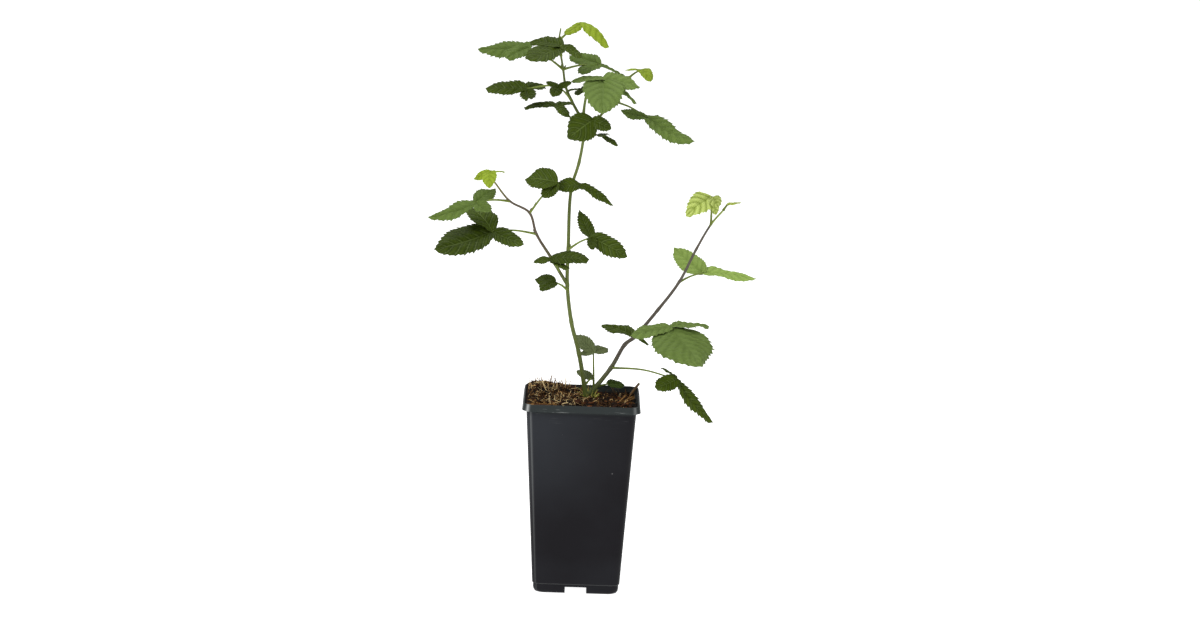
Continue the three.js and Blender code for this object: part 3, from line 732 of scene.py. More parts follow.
UP = (0, 90)
STEMS = (
    Stem("main_stem", (2.15, 1.2),
         ((207, 78, 43), (221, 71, 33), (192, 82, 35), (94, 86, 33), (83, 82, 56), (17, 75, 26),
          (318, 80, 27), (180, 88, 21), (303, 77, 27)),
         Bark.GREEN, start=(4, 8, 178.4), flare=0.9, leaves=(
             Leaf(8.9, (321, 24, 20), (270, 50), 0.84, 25, Tone.PALE,
                  (Blade(270, -37, 45, shape=Shape.OVATE), Blade(180, -4, 30, face=(270, 82), width=0.6),
                   Blade(8, -10, 35, face=(270, 62), width=0.7),
                   Blade(20, -33, 40, face=(270, 65), width=0.3))),
             Leaf(8.7, (99, 1, 14), UP, 0.6, 30, Tone.DARK,
                  (Blade(141, -8, 22), Blade(240, -10, 16), Blade(60, 10, 20))),
             Leaf(7.1, (143, 32, 39), (270, 70), 0.45, 35, Tone.DARK,
                  (Blade(169, -5, 31), Blade(300, -18, 24), Blade(45, 5, 22))),
             Leaf(7, (329, 1, 18), (270, 80), 0.45, 15, Tone.DARK,
                  (Blade(328, -21, 21), Blade(275, 5, 20), Blade(65, 0, 18))),
             Leaf(5, (306, 23, 13), (270, 65), 0.36, 40, Tone.DARK,
                  (Blade(355, -28, 37, face=(273, 58), width=0.33, curl=32, shape=Shape.LANCE),
                   Blade(205, -5, 24, face=(270, 45), width=0.7), Blade(80, -15, 30))),
             Leaf(4, (331, 30, 28), (270, 40), 0.53, 13, Tone.DARK,
                  (Blade(346, -25, 38), Blade(272, -20, 24, width=0.38),
                   Blade(125, 47, 31, face=(274, 44), width=0.45, curl=-30, shape=Shape.LANCE))),
             Leaf(2.86, (222, 28, 19), (250, 50), 0.75, 20, Tone.DARK,
                  (Blade(228, -18, 20), Blade(165, 4, 19))),
             Leaf(0.25, (50, 30, 12), (270, 40), 0.6, 20, Tone.GREY,
                  (Blade(165, 22, 16),)),
         )),
    Stem("left_leader", (1.5, 0.7),
         ((158, 57, 24), (215, 62, 15), (236, 73, 17), (221, 76, 13), (241, 72, 15), (303, 78, 12)),
         Bark.GREEN, parent="main_stem", node=7.5, leaves=(
             Leaf(5, (349, 40, 27), (270, 75), 0.46, 60, Tone.TIP,
                  (Blade(337, -36, 35, width=0.43),
                   Blade(229, -18, 26, face=(279, 65), width=0.4, fold=0, curl=-30),
                   Blade(35, -42, 26)), fold=-0.5, shape=Shape.LANCE),
             Leaf(3, (159, 27, 38), (270, 55), 0.52, 20, Tone.MID,
                  (Blade(180, -3, 48, width=0.43, curl=-6), Blade(234, -12, 36), Blade(128, -4, 34))),
             Leaf(4, (271, 34, 19), (270, 65), 0.62, 20, Tone.DARK,
                  (Blade(224, -13, 45, face=(268, 72), width=0.7, curl=-23, shape=Shape.LANCE),
                   Blade(322, -20, 26, width=0.45), Blade(146, 2, 35))),
             Leaf(3, (23, 6, 36), (270, 75), 0.6, 15, Tone.MID,
                  (Blade(30, -24, 35, width=0.36), Blade(230, -12, 29),
                   Blade(146, 10, 34, face=(270, 55)))),
             Leaf(2, (174, -6, 36), (270, 55), 0.54, 20, Tone.DARK,
                  (Blade(172, -2, 39, width=0.52, curl=5),
                   Blade(274, -9, 33, face=(259, 51), width=0.46, curl=-30, shape=Shape.LANCE),
                   Blade(56, 2, 29))),
             Leaf(1, (241, 29, 29), (270, 40), 0.8, 20, Tone.DARK,
                  (Blade(248, -30, 15), Blade(330, 22, 15, width=0.5), Blade(160, 20, 13, width=0.5))),
         )),
    Stem("right_leader", (1.4, 0.8), ((40, 31, 20), (39, 43, 22), (352, 57, 26)),
         Bark.GREEN, parent="main_stem", node=7.2, leaves=(
             Leaf(1, (259, 2, 29), (270, 15), 0.92, 21, Tone.DARK,
                  (Blade(213, -31, 31),
                   Blade(330, -18, 21, width=0.6, shape=Shape.BLUNT)), shape=Shape.LANCE),
             Leaf(2, (336, -19, 36), (270, 60), 0.43, -30, Tone.MID,
                  (Blade(327, -19, 57, face=(274, 67)), Blade(210, 14, 28, face=(269, 42)),
                   Blade(64, -2, 28)), shape=Shape.LANCE),
             Leaf(3, (330, 35, 15), (270, 50), 0.56, 60, Tone.TIP,
                  (Blade(295, -20, 24, face=(282, 63)), Blade(200, 0, 15, face=UP, width=0.5, curl=20))),
         )),
    Stem("left_shoot", (1.7, 0.8),
         ((215, 54, 33), (220, 52, 30), (221, 66, 22), (213, 29, 25), (214, 47, 26)),
         Bark.SHOOT, parent="main_stem", node=3, leaves=(
             Leaf(3, (25, 47, 38), (270, 50), 0.9, 40, Tone.DARK,
                  (Blade(165, 1, 30), Blade(229, -35, 22, face=(271, 40), width=0.64, curl=-30))),
             Leaf(2, (183, 2, 41), (270, 55), 0.62, 15, Tone.DARK,
                  (Blade(207, -14, 60, face=(271, 62), width=0.67, curl=-21),
                   Blade(329, -14, 36, width=0.57, curl=-13),
                   Blade(135, 26, 38, face=(284, 73), width=0.75, curl=60)), shape=Shape.LANCE),
             Leaf(4, (187, -3, 31), (270, 60), 0.6, 0, Tone.MID,
                  (Blade(190, -18, 46, width=0.44, curl=-30), Blade(300, -12, 26, shape=Shape.BLUNT),
                   Blade(51, 21, 29, width=0.62, curl=16)), shape=Shape.LANCE),
             Leaf(5, (230, 60, 10), (270, 30), 0.66, 15, Tone.TIP,
                  (Blade(269, -42, 19, face=(254, 29), width=0.74, curl=60),
                   Blade(160, -24, 18, width=0.5),
                   Blade(45, -2, 18, face=UP, width=0.4)), shape=Shape.LANCE),
             Leaf(0.5, (250, 30, 28), (270, 62), 0.58, 22, Tone.DARK,
                  (Blade(341, 5, 38, width=0.56, curl=25),
                   Blade(309, -9, 28, face=(286, 80), width=0.42, curl=-6), Blade(204, -6, 17))),
         )),
    Stem("right_cane", (2.25, 0.9),
         ((21, 50, 33), (33, 55, 26), (26, 34, 11), (20, 48, 35), (23, 51, 33), (22, 62, 35), (31, 56, 28),
          (20, 48, 18)),
         Bark.CANE, start=(7, 18.5, 178.4), flare=0.9, leaves=(
             Leaf(7, (266, 77, 27), (270, 30), 0.65, 25, Tone.CREAM,
                  (Blade(216, -28, 34, face=(259, 32), curl=59, shape=Shape.LANCE),
                   Blade(285, -15, 22, width=0.6), Blade(60, -60, 20, width=0.5))),
             Leaf(8, (0, 55, 6), (90, 60), 0.45, 15, Tone.TIP,
                  (Blade(342, 16, 14),), shape=Shape.LANCE),
             Leaf(5, (37, 13, 30), (270, 72), 0.45, 12, Tone.LIT_BROAD,
                  (Blade(5, -5, 51, shape=Shape.OVATE),
                   Blade(137, 27, 43, face=(270, 42), width=0.52, curl=-25))),
             Leaf(3, (327, 20, 43), (296, 82), 1.15, 5, Tone.PALE,
                  (Blade(305, -30, 58, fold=-0.07), Blade(205, -8, 42, face=(270, 75), width=0.55),
                   Blade(31, -2, 43, face=(270, 86), width=0.56, curl=17, shape=Shape.LANCE))),
             Leaf(2.9, (82, -2, 14), (270, 70), 0.5, 20, Tone.DARK,
                  (Blade(148, 10, 38), Blade(8, -30, 16))),
             Leaf(1, (334, -3, 68), (230, 50), 0.32, 20, Tone.DARK,
                  (Blade(346, -46, 53, face=(229, 68), width=0.3, curl=-30),
                   Blade(222, -12, 27, face=(270, 40), width=0.66, curl=-11, shape=Shape.BLUNT),
                   Blade(122, 14, 27, face=(340, 52))), shape=Shape.LANCE),
             Leaf(0.2, (251, 83, 37), (270, 45), 0.6, 15, Tone.GREY,
                  (Blade(150, 34, 25), Blade(195, -8, 13), Blade(45, 3, 20))),
             Leaf(0.25, (26, 13, 14), (270, 50), 0.6, 15, Tone.DEEP,
                  (Blade(32, -7, 19),)),
         )),
    Stem("dead_stub", (1.45, 1.2), ((41, 44, 15),), Bark.DEAD, start=(46, 37, 175.6), flare=0.3,
         crust=0.12),
)


# Stems and leaves

@dataclass
class StemPiece:
    """One stem with bark relief, swollen nodes and small buds.

    The relief and the swelling are shares of the radius, and a step is the length of a row of faces.
    """

    stem: Stem
    origin: Array
    foot: Array
    columns: int = 20
    step: float = 1.6
    least_rows: int = 6
    skin: float = 0.98
    tip_shrink: float = 0.55
    tip_reach: float = 0.1
    flare_reach: float = 5.0
    ridges: int = 5
    ridge_relief: float = 0.05
    ridge_twist: float = 0.02
    grain_relief: float = 0.035
    grain_size: float = 2.5
    crust_size: float = 1.2
    swelling: float = 0.16
    swelling_reach: float = 2.4
    bud_length: float = 3.2
    bud_radius: float = 0.75

    def __post_init__(self) -> None:
        """Works out the curve's knots from the foot and the internodes."""
        steps = [direction(heading, rise) * length for heading, rise, length in self.stem.steps]
        self.knots = np.vstack([self.foot, self.foot + np.cumsum(steps, axis=0)])

    def place(self, node: float) -> Array:
        """Gives the point of the stem's axis at a node, whole or between."""
        return curve_points(self.knots, np.array([float(node)]))[0]

    def radius_at(self, share: float | Array, length: float) -> float | Array:
        """Gives the radius: a straight taper from foot to tip plus a flare that dies out from the foot."""
        base, tip = self.stem.radius
        return base + (tip - base) * share + self.stem.flare * np.exp(-share * length / self.flare_reach)

    def build(self, material: Material) -> Piece:
        """Makes the stem: taper times soft ridges, a swelling at each node, fine lumps and any crust.

        Args:
            material: The stem's bark.

        Returns:
            The stem's piece.
        """
        lengths = np.array([length for _, _, length in self.stem.steps])
        rows = np.maximum(self.least_rows, np.ceil(lengths / self.step).astype(int))
        places = np.concatenate([[0.0], *(k + np.arange(1, n + 1) / n for k, n in enumerate(rows))])
        path = curve_points(self.knots, places)
        run = np.concatenate([[0], np.cumsum(np.linalg.norm(np.diff(path, axis=0), axis=1))])
        share, along = run / run[-1], run[:, None]
        at_nodes = np.interp(np.arange(1, len(lengths)), places, run)
        swelling = self.swelling * bell(along - at_nodes, self.swelling_reach).sum(axis=1)
        turn = np.linspace(0, 2 * np.pi, self.columns, endpoint=False)[None]
        ridges = self.ridge_relief * np.cos(self.ridges * turn + self.ridge_twist * along)
        grain = self.grain_relief * lumps(6 * turn, along, self.grain_size, SEED)
        crust = self.stem.crust * lumps(2 * turn, along, self.crust_size, 7)
        radii = (self.skin * self.radius_at(share, run[-1]) * (1 + swelling))[:, None]
        rings = tube_rings(path, radii * (1 + ridges) * (1 + grain) * (1 + crust))
        if self.stem.start:
            rings[0, :, 2] = self.foot[2]
        else:
            end = self.tip_reach * (path[-1] - path[-2])
            rings[-1] = path[-1] + self.tip_shrink * (rings[-1] - path[-1]) + end
        shell = Shell()
        shell.add_rings(rings, even_map(self.columns, share))
        self.add_buds(shell, lengths.sum())
        return shell.build(f"{self.stem.name}_bark", [material], self.origin)

    def add_buds(self, shell: Shell, length: float) -> None:
        """Adds a small pointed spindle in the angle above each leaf, but for those at the foot and tip.

        Args:
            shell: The stem's shell.
            length: The stem's length in millimetres.
        """
        last = len(self.stem.steps)
        t = np.linspace(0, 1, 7)
        radii = np.tile(self.bud_radius * np.sin(np.pi * (0.12 + 0.86 * t[:, None])) ** 0.7, (1, 8))
        for leaf in self.stem.leaves:
            if 0.5 <= leaf.node <= last - 0.2:
                share = leaf.node / last
                reach = self.radius_at(share, length)
                out = unit(direction(*leaf.stalk[:2]) + np.array([0, 0, 1.2]))
                path = self.place(leaf.node) + out * (0.6 * reach + t * (reach + self.bud_length))[:, None]
                shell.add_rings(tube_rings(path, radii), even_map(8, np.full(7, share)))


def half_width(share: Array, shape: Shape) -> Array:
    """Gives a leaflet's outline: the sine of pi times share to the skew, to the power, less at the tip."""
    skew, power = shape.value
    return np.sin(np.pi * np.clip(share, 0, 1) ** skew) ** power * (1 - 0.15 * share ** 6)


@dataclass
class LeafPiece:
    """One compound leaf: a stalk with stipules, and its leaflets with veins, pleats and teeth.

    The relief of a leaflet, from its teeth to its buckles, is given as shares of its length. A leaflet up
    to the short blade's length has fewer rows, and only a stalk longer than plain_stalk has stipules.
    """

    leaf: Leaf
    name: str
    origin: Array
    root: Array
    seed: int
    rows: int = 111
    short_blade: float = 24.0
    half_columns: tuple[float, ...] = (0.06, 0.19, 0.35, 0.52, 0.7, 0.86, 0.95, 1.0)
    stalk_radius: Pair = (1.05, 0.7)
    stalk_arch: float = 0.05
    plain_stalk: float = 16.0
    stipule_place: float = 4.5
    stipule_length: float = 6.0
    stipule_width: float = 0.42
    heel: float = 1.6
    slant: float = 0.42
    tooth_depth: float = 0.054
    bulge: float = 0.05
    gutter: float = 0.014
    wave: float = 0.02
    droop: float = 0.06
    buckle: float = 0.02

    def build(self, top: Material, under: Material, stalk: Material) -> Piece:
        """Makes the whole leaf as one piece.

        Args:
            top: The upper side's finish.
            under: The lower side's finish.
            stalk: The stalk's skin.

        Returns:
            The leaf's piece.
        """
        rng = np.random.default_rng(self.seed)
        shell = Shell()
        heading, rise, length = self.leaf.stalk
        hub = self.root + direction(heading, rise) * length
        self.add_stalk(shell, hub, length)
        for blade in self.leaf.blades:
            self.add_blade(shell, hub, blade, rng)
        return shell.build(self.name, [top, under, stalk], self.origin)

    def add_stalk(self, shell: Shell, hub: Array, length: float) -> None:
        """Adds the stalk: a tapering tube through root, raised middle and hub, swollen at both ends.

        Args:
            shell: The leaf's shell.
            hub: Where the leaflets meet.
            length: The stalk's length in millimetres.
        """
        middle = (self.root + hub) / 2 + np.array([0, 0, self.stalk_arch * length])
        t = np.linspace(0, 1, max(8, int(length / 2)))
        path = curve_points(np.vstack([self.root, middle, hub]), 2 * t)
        foot, end = self.stalk_radius
        swelling = 0.5 * np.exp(-t * length / 3) + 0.15 * bell((1 - t) * length, 2)
        shell.add_tube(path, foot + (end - foot) * t + swelling, 10, 2)
        if length > self.plain_stalk:
            self.add_stipules(shell, path, t * length)

    def add_stipules(self, shell: Shell, path: Array, run: Array) -> None:
        """Adds two narrow bracts near the stalk's foot: flat spindles that curve outwards as the square.

        Args:
            shell: The leaf's shell.
            path: The stalk's path.
            run: The length along it at each point.
        """
        foot = np.array([np.interp(self.stipule_place, run, path[:, k]) for k in range(3)])
        ahead = unit(path[-1] - path[0])
        side = unit(np.cross([0, 0, 1.0], ahead))
        t = np.linspace(0, 1, 8)[:, None]
        width = self.stipule_width * np.sin(np.pi * (0.1 + 0.88 * t)) ** 0.8
        for hand in (-1, 1):
            out = side * hand + np.array([0, 0, 0.5])
            spine = foot + ahead * self.stipule_length * t + out * (0.6 + 2.4 * t ** 2)
            shell.add_tube(spine, width * np.array([1, 0.22, 1, 0.22]), slot=2)

    def add_blade(self, shell: Shell, hub: Array, blade: Blade, rng: np.random.Generator) -> None:
        """Adds one leaflet as a flat closed tube whose rings run over the top and back underneath.

        A point lies at rib(s) + v * width(s) across + height along the face. The rib arches as s(1 - s).
        The height is the fold times the width, a bulge between side veins that is the sine of the part
        of a vein spacing, a gutter along the rib, a slow wave and a droop at the margin, and soft
        buckles. Teeth widen the margin towards the end of each vein and drop behind it. All of this
        relief fades out at both ends of the leaflet.

        Args:
            shell: The leaf's shell.
            hub: Where the leaflets meet.
            blade: The leaflet's sizes.
            rng: Seeded randomness of the leaf.
        """
        leaf, finish, length = self.leaf, LEAF_FINISHES[self.leaf.tone], blade.length
        width = (blade.width or leaf.width) * length / 2
        fold = leaf.fold if blade.fold is None else blade.fold
        curl = leaf.curl if blade.curl is None else blade.curl
        axis, face = direction(blade.heading, blade.rise), direction(*(blade.face or leaf.face))
        up = unit(face - (face @ axis) * axis)
        side = np.cross(up, axis)
        s = np.linspace(0, 1, self.rows if length > self.short_blade else 2 * self.rows // 3)[:, None]
        half = np.array(self.half_columns)
        v = np.concatenate([-half[::-1], [0], half])[None]
        reach = np.abs(v)
        sag = 2 * length * np.tan(np.radians(curl) / 4)
        rib = hub + axis * (length * s - self.heel * (1 - s)) + up * (sag * s * (1 - s))

        veins = int(np.clip(round(2.6 + length / 14), 4, 7))
        slant = np.clip(self.slant * 2 * width / length, 0.17, 0.4)
        phase = veins * (1.04 * s - slant * reach) + rng.uniform(0.1, 0.5)
        part, tooth = phase % 1, (2 * phase + 0.12 * np.sin(9 * s)) % 1
        shape = half_width(s, blade.shape or leaf.shape)
        ease = smoothstep(0.0, 0.12, s) * smoothstep(0.0, 0.06, 1 - s)
        depth = self.tooth_depth * finish.teeth * length * np.where((2 * phase) % 2 > 1, 1.0, 0.7)
        teeth = depth * (tooth ** 1.4 - 0.42) * np.sqrt(shape) * reach ** 8 * ease
        margin = np.clip(shape * width, 0.3, 0.3 + 1.25 * (1 - s) * length)

        bulge = self.bulge * finish.pleats * np.sin(np.pi * part) ** 0.6 * shape ** 0.8
        bulge = bulge * smoothstep(0.02, 0.3, reach) * (1 - 0.5 * reach)
        gutter = self.gutter * bell(reach, 0.09) * (1 - 0.6 * s)
        wave = self.wave * reach ** 2 * np.sin(2 * np.pi * (1.6 * s + rng.uniform()) + 0.8 * np.sign(v))
        droop = self.droop * reach ** 2 * smoothstep(0.1, 0.6, s)
        buckle = self.buckle * lumps(20 * v, 60 * s, 14, self.seed)
        height = fold * margin * reach + length * (bulge - gutter + wave - droop + buckle) * ease
        across, ahead = v * (margin + teeth), 0.5 * teeth
        top = rib[:, None] + side * across[..., None] + up * height[..., None] + axis * ahead[..., None]

        vein = bell(part * (1 - part), 0.002 ** 0.5)
        thick = 0.16 + (0.14 + 0.12 * vein) * (1 - reach) + 0.5 * bell(reach, 0.06) * (1 - 0.7 * s)
        rings = np.concatenate([top, (top - up * thick[..., None])[:, ::-1]], axis=1)
        flat = np.stack(np.broadcast_arrays(phase, 0.5 + 0.5 * v), -1)
        maps = np.concatenate([flat, flat[:, ::-1], flat[:, :1]], axis=1)
        shell.add_rings(rings, maps, np.repeat([0, 1], v.size), 0.7 * rng.uniform(-1, 1))


# Pot and potting mix

@dataclass
class Pot:
    """A tapered square growing pot: wall, lipped rim, four corner feet and drain holes.

    Each row of foot_rounding is what the feet lose in width and its height, and each row of lip is what
    the rim loses in width, what its corners gain in radius, and its height above the wall.
    """

    origin: Array
    height: float = 181.3
    rim_top: float = 107.5
    rim_foot: float = 110.0
    rim_band: float = 6.4
    body_top: float = 102.0
    body_foot: float = 81.6
    foot_height: float = 8.9
    foot_width: float = 79.8
    foot_rounding: tuple[Pair, ...] = ((7.0, 0.0), (3.4, 0.9), (1.2, 2.5), (0.0, 5.0))
    lip: tuple[Triple, ...] = ((0.0, 2.0, 0.01), (0.4, 2.0, 1.2), (0.9, 1.7, 2.6), (1.5, 1.3, 4.0))
    corner_top: float = 9.0
    corner_foot: float = 7.0
    wall: float = 1.3
    wall_bow: float = 0.5
    wall_rows: int = 12
    floor: float = 1.8
    channel_width: float = 20.0
    channel_height: float = 6.5
    channel_reach: float = 60.0
    hole_radius: float = 5.0
    hole_spacing: float = 42.0
    edge: float = 0.55
    edge_angle: float = 35.0
    per_corner: int = 14
    per_side: int = 8

    def __post_init__(self) -> None:
        """Works out the height at which the wall meets the rim."""
        self.rim = self.height - self.rim_band

    def ring(self, width: float, corner: float, z: float, bow: float = 0.0) -> Array:
        """Gives a level square ring, as one corner's arc and the side after it, turned to all four sides.

        Args:
            width: The side.
            corner: The corners' radius.
            z: The height.
            bow: How far a side stands out at its middle, as the sine of the way along it.

        Returns:
            The ring's points, anticlockwise from the right.
        """
        inner = width / 2 - corner
        # Points are complex numbers here, because a quarter turn is then a product with 1j
        arc = inner * (1 + 1j) + corner * np.exp(1j * np.linspace(0, np.pi / 2, self.per_corner))
        t = np.linspace(0, 1, self.per_side + 2)[1:-1]
        side = inner * (1 - 2 * t) + 1j * (width / 2 + bow * np.sin(np.pi * t))
        flat = np.outer([1, 1j, -1, -1j], np.concatenate([arc, side])).ravel()
        return np.column_stack([flat.real, flat.imag, np.full(len(flat), z)])

    def body_width(self, z: float) -> float:
        """Gives the wall's outside width at a height, by its straight taper."""
        share = (z - self.foot_height) / (self.rim - self.foot_height)
        return self.body_foot + (self.body_top - self.body_foot) * share

    def outside(self) -> list[tuple[float, ...]]:
        """Gives the rows of the outside, from the feet up: width, corner radius, height and bow.

        Returns:
            The rows, for ring.
        """
        corner, rim, foot = self.corner_foot, self.rim, self.foot_height
        feet = [(self.foot_width - cut, corner, z) for cut, z in (*self.foot_rounding, (0.0, foot))]
        walls = [(self.body_width(z), corner + (self.corner_top - corner) * z / rim, z,
                  self.wall_bow * np.sin(np.pi * z / rim))
                 for z in np.linspace(foot + 0.6, rim, self.wall_rows)]
        lip = [(self.rim_foot - cut, self.corner_top + more, rim + up) for cut, more, up in self.lip]
        top = [(self.rim_top + 0.3, self.corner_top + 1, self.height - 0.8),
               (self.rim_top, self.corner_top + 1, self.height)]
        return [*feet, *walls, *lip, *top]

    def hollow(self) -> list[tuple[float, ...]]:
        """Gives the rows of the inside, from the floor up: width, corner radius and height.

        Returns:
            The rows, for ring.
        """
        floor, thick = self.channel_height + self.floor, 2 * self.wall
        return [(self.body_width(floor) - thick, self.corner_foot - 1, floor),
                (self.body_width(self.rim) - thick, self.corner_top - 1, self.rim),
                (self.rim_top - thick - 1, self.corner_top, self.rim + 3),
                (self.rim_top - thick, self.corner_top, self.height + 1)]

    def solid(self, name: str, rings: Array) -> Piece:
        """Makes a plain closed body over a stack of rings.

        Args:
            name: The body's name.
            rings: Rows, columns and X, Y, Z.

        Returns:
            The body.
        """
        shell = Shell()
        shell.add_rings(rings)
        return shell.build(name, [], self.origin)

    def cutters(self) -> list[Piece]:
        """Makes the bodies that are cut away: the hollow, two crossing channels and the drain holes.

        Returns:
            The bodies.
        """
        bodies = [self.solid("pot_hollow", np.stack([self.ring(*row) for row in self.hollow()]))]
        half, far = self.channel_width / 2, self.channel_reach
        for name, wide, deep, low, high in (("channel_x", far, half, -2.0, self.channel_height),
                                            ("channel_y", half, far, -2.5, self.channel_height + 0.01)):
            square = np.array([(-wide, -deep), (wide, -deep), (wide, deep), (-wide, deep)])
            bodies.append(self.solid(name, np.stack([np.column_stack([square, np.full(4, z)])
                                                     for z in (low, high)])))
        for x, y in ((1, 0), (0, 1), (-1, 0), (0, -1)):
            across, back = x * self.hole_spacing / 2, y * self.hole_spacing / 2
            path = np.array([(across, back, z) for z in (3.0, 8.0, 20.0)])
            bodies.append(self.solid("drain_hole", tube_rings(path, np.full((3, 28), self.hole_radius))))
        return bodies

    def build(self, material: Material) -> Piece:
        """Makes the pot: outside less inside, less the two channels and the drain holes, edges rounded.

        Args:
            material: The pot's plastic.

        Returns:
            The pot's piece.
        """
        outer = self.solid("pot_shell", np.stack([self.ring(*row) for row in self.outside()]))
        cutters = self.cutters()
        for cutter in cutters:
            cut = outer.modifiers.new(cutter.name, "BOOLEAN")
            cut.operation, cut.solver, cut.object = "DIFFERENCE", "EXACT", cutter
        edge = outer.modifiers.new("moulded_edges", "BEVEL")
        edge.width, edge.segments = self.edge * MM, 3
        edge.limit_method, edge.angle_limit = "ANGLE", np.radians(self.edge_angle)
        edge.harden_normals = True
        bpy.context.view_layer.update()
        graph = bpy.context.evaluated_depsgraph_get()
        mesh = bpy.data.meshes.new_from_object(outer.evaluated_get(graph))
        for body in (outer, *cutters):
            bpy.data.objects.remove(body)
        mesh.name = "pot_moulding"
        self.add_marks_and_painted_light(mesh)
        mesh.materials.clear()
        mesh.materials.append(material)
        return put("pot_moulding", mesh)

    def add_marks_and_painted_light(self, mesh: bpy.types.Mesh) -> None:
        """Stores where a highlight is painted pale, where its rim has dusty scuffs and where painted light
        brightens the walls.

        At each front corner the painted highlight is a bell about the line that faces 33 degrees away from
        the front: bright on the rim's left corner, weaker on its right one and faint down the left edge. The
        fold above the feet gets a thin painted highlight too. Scuffs lie low on the rim, between 8 and 46 mm
        from the middle of each side. Painted light fades in up the walls and towards the left, with a little
        more near the feet.

        Args:
            mesh: The finished pot.
        """
        flat = np.empty(3 * len(mesh.vertices))
        mesh.vertices.foreach_get("co", flat)
        x, y, z = ((flat.reshape(-1, 3) - self.origin) / MM).T
        on_rim = z > self.rim - 0.2
        low, high = self.body_foot / 2 - self.corner_foot, self.body_top / 2 - self.corner_top
        rim_middle = self.rim_foot / 2 - self.corner_top - self.lip[0][1]
        middle = np.where(on_rim, rim_middle, low + (high - low) * z / self.rim)
        turn = np.degrees(np.arctan2(np.abs(x) - middle, np.abs(y) - middle))
        outside = np.hypot(x, y) > middle * np.sqrt(2) + 3
        # Painted highlight: a pale line where each front corner faces 33 degrees from the front, and one
        # along the fold above the feet.
        painted_highlight_line = bell(turn - 33, np.where(on_rim, 8, 6)) * outside * (y < 0)
        left_edge = np.where(on_rim, 1.3, 0.16 + 0.16 * smoothstep(10, 150, z))
        corner = painted_highlight_line * np.where(x < 0, left_edge, 0.4 * on_rim)
        fold = 0.14 * (np.abs(z - self.foot_height - 0.3) < 0.45)
        along, down = np.minimum(np.abs(x), np.abs(y)), self.height - z
        scuffed = smoothstep(7, 6, down) * smoothstep(1, 4, down)
        scuffed *= smoothstep(8, 17, along) * smoothstep(46, 40, along)
        # Painted light: lighter up the walls and towards the left, and a little lighter near the feet.
        haze = smoothstep(40, 185, z) * np.clip(0.68 - 0.0118 * x, 0.1, 1.1) + 0.2 * smoothstep(40, 20, z)
        for name, values in (("wear", np.maximum(corner, fold)), ("scuffed", scuffed), ("haze", haze)):
            mesh.attributes.new(name, "FLOAT", "POINT").data.foreach_set("value", values)


@dataclass
class CrownShoots:
    """Dry leaf stalks round the foot of the stems."""

    origin: Array
    centre: Triple = (8.0, 12.0, 177.6)
    spread: Triple = (5.0, 7.0, 0.0)
    count: int = 22
    jitter: float = 12.0
    length: Pair = (6.0, 16.0)
    rise: Pair = (35.0, 75.0)
    radius: Pair = (0.35, 0.6)
    taper: float = 0.75
    droop: float = 0.25
    tint: Pair = (0.1, 0.9)

    def build(self, material: Material) -> Piece:
        """Makes the stalks: tapered tubes that lean out of a ring and droop as the square of the way.

        Args:
            material: The dry stalks' finish.

        Returns:
            All the stalks as one piece.
        """
        rng = np.random.default_rng(SEED + 4)
        shell = Shell()
        t = np.linspace(0, 1, 9)
        for k in range(self.count):
            turn = 360 * k / self.count + rng.uniform(-self.jitter, self.jitter)
            foot = np.array(self.centre) + direction(turn, 0) * self.spread
            length = rng.uniform(*self.length)
            path = foot + direction(turn, rng.uniform(*self.rise)) * (t * length)[:, None]
            path[:, 2] -= self.droop * length * t ** 2
            radii = rng.uniform(*self.radius) * (1 - self.taper * t)
            shell.add_tube(path, radii, tint=rng.uniform(*self.tint))
        return shell.build("crown_stalks", [material], self.origin)


@dataclass(frozen=True)
class Straw:
    """One straw: its start, heading, rise, length and half width, the share that it bends, and its tint."""

    x: float
    y: float
    heading: float
    rise: float
    length: float
    girth: float
    bend: float
    tone: float


@dataclass(frozen=True)
class Tuft:
    """Straws that lie together: how many, what each of their sizes is drawn from, and the step in Y."""

    count: int
    x: Pair
    y: Pair
    heading: Pair
    rise: Pair
    length: Pair
    girth: Pair
    bend: float
    tone: Pair
    step: float = 0.0

    def draw(self, rng: np.random.Generator, number: int) -> Straw:
        """Draws one of the straws.

        Args:
            rng: Seeded randomness.
            number: The straw's number, from 0.

        Returns:
            The straw.
        """
        ranges = (self.x, self.y, self.heading, self.rise, self.length, self.girth)
        x, y, *sizes = (rng.uniform(*drawn) for drawn in ranges)
        return Straw(x, y + number * self.step, *sizes, rng.normal(0, self.bend), rng.uniform(*self.tone))


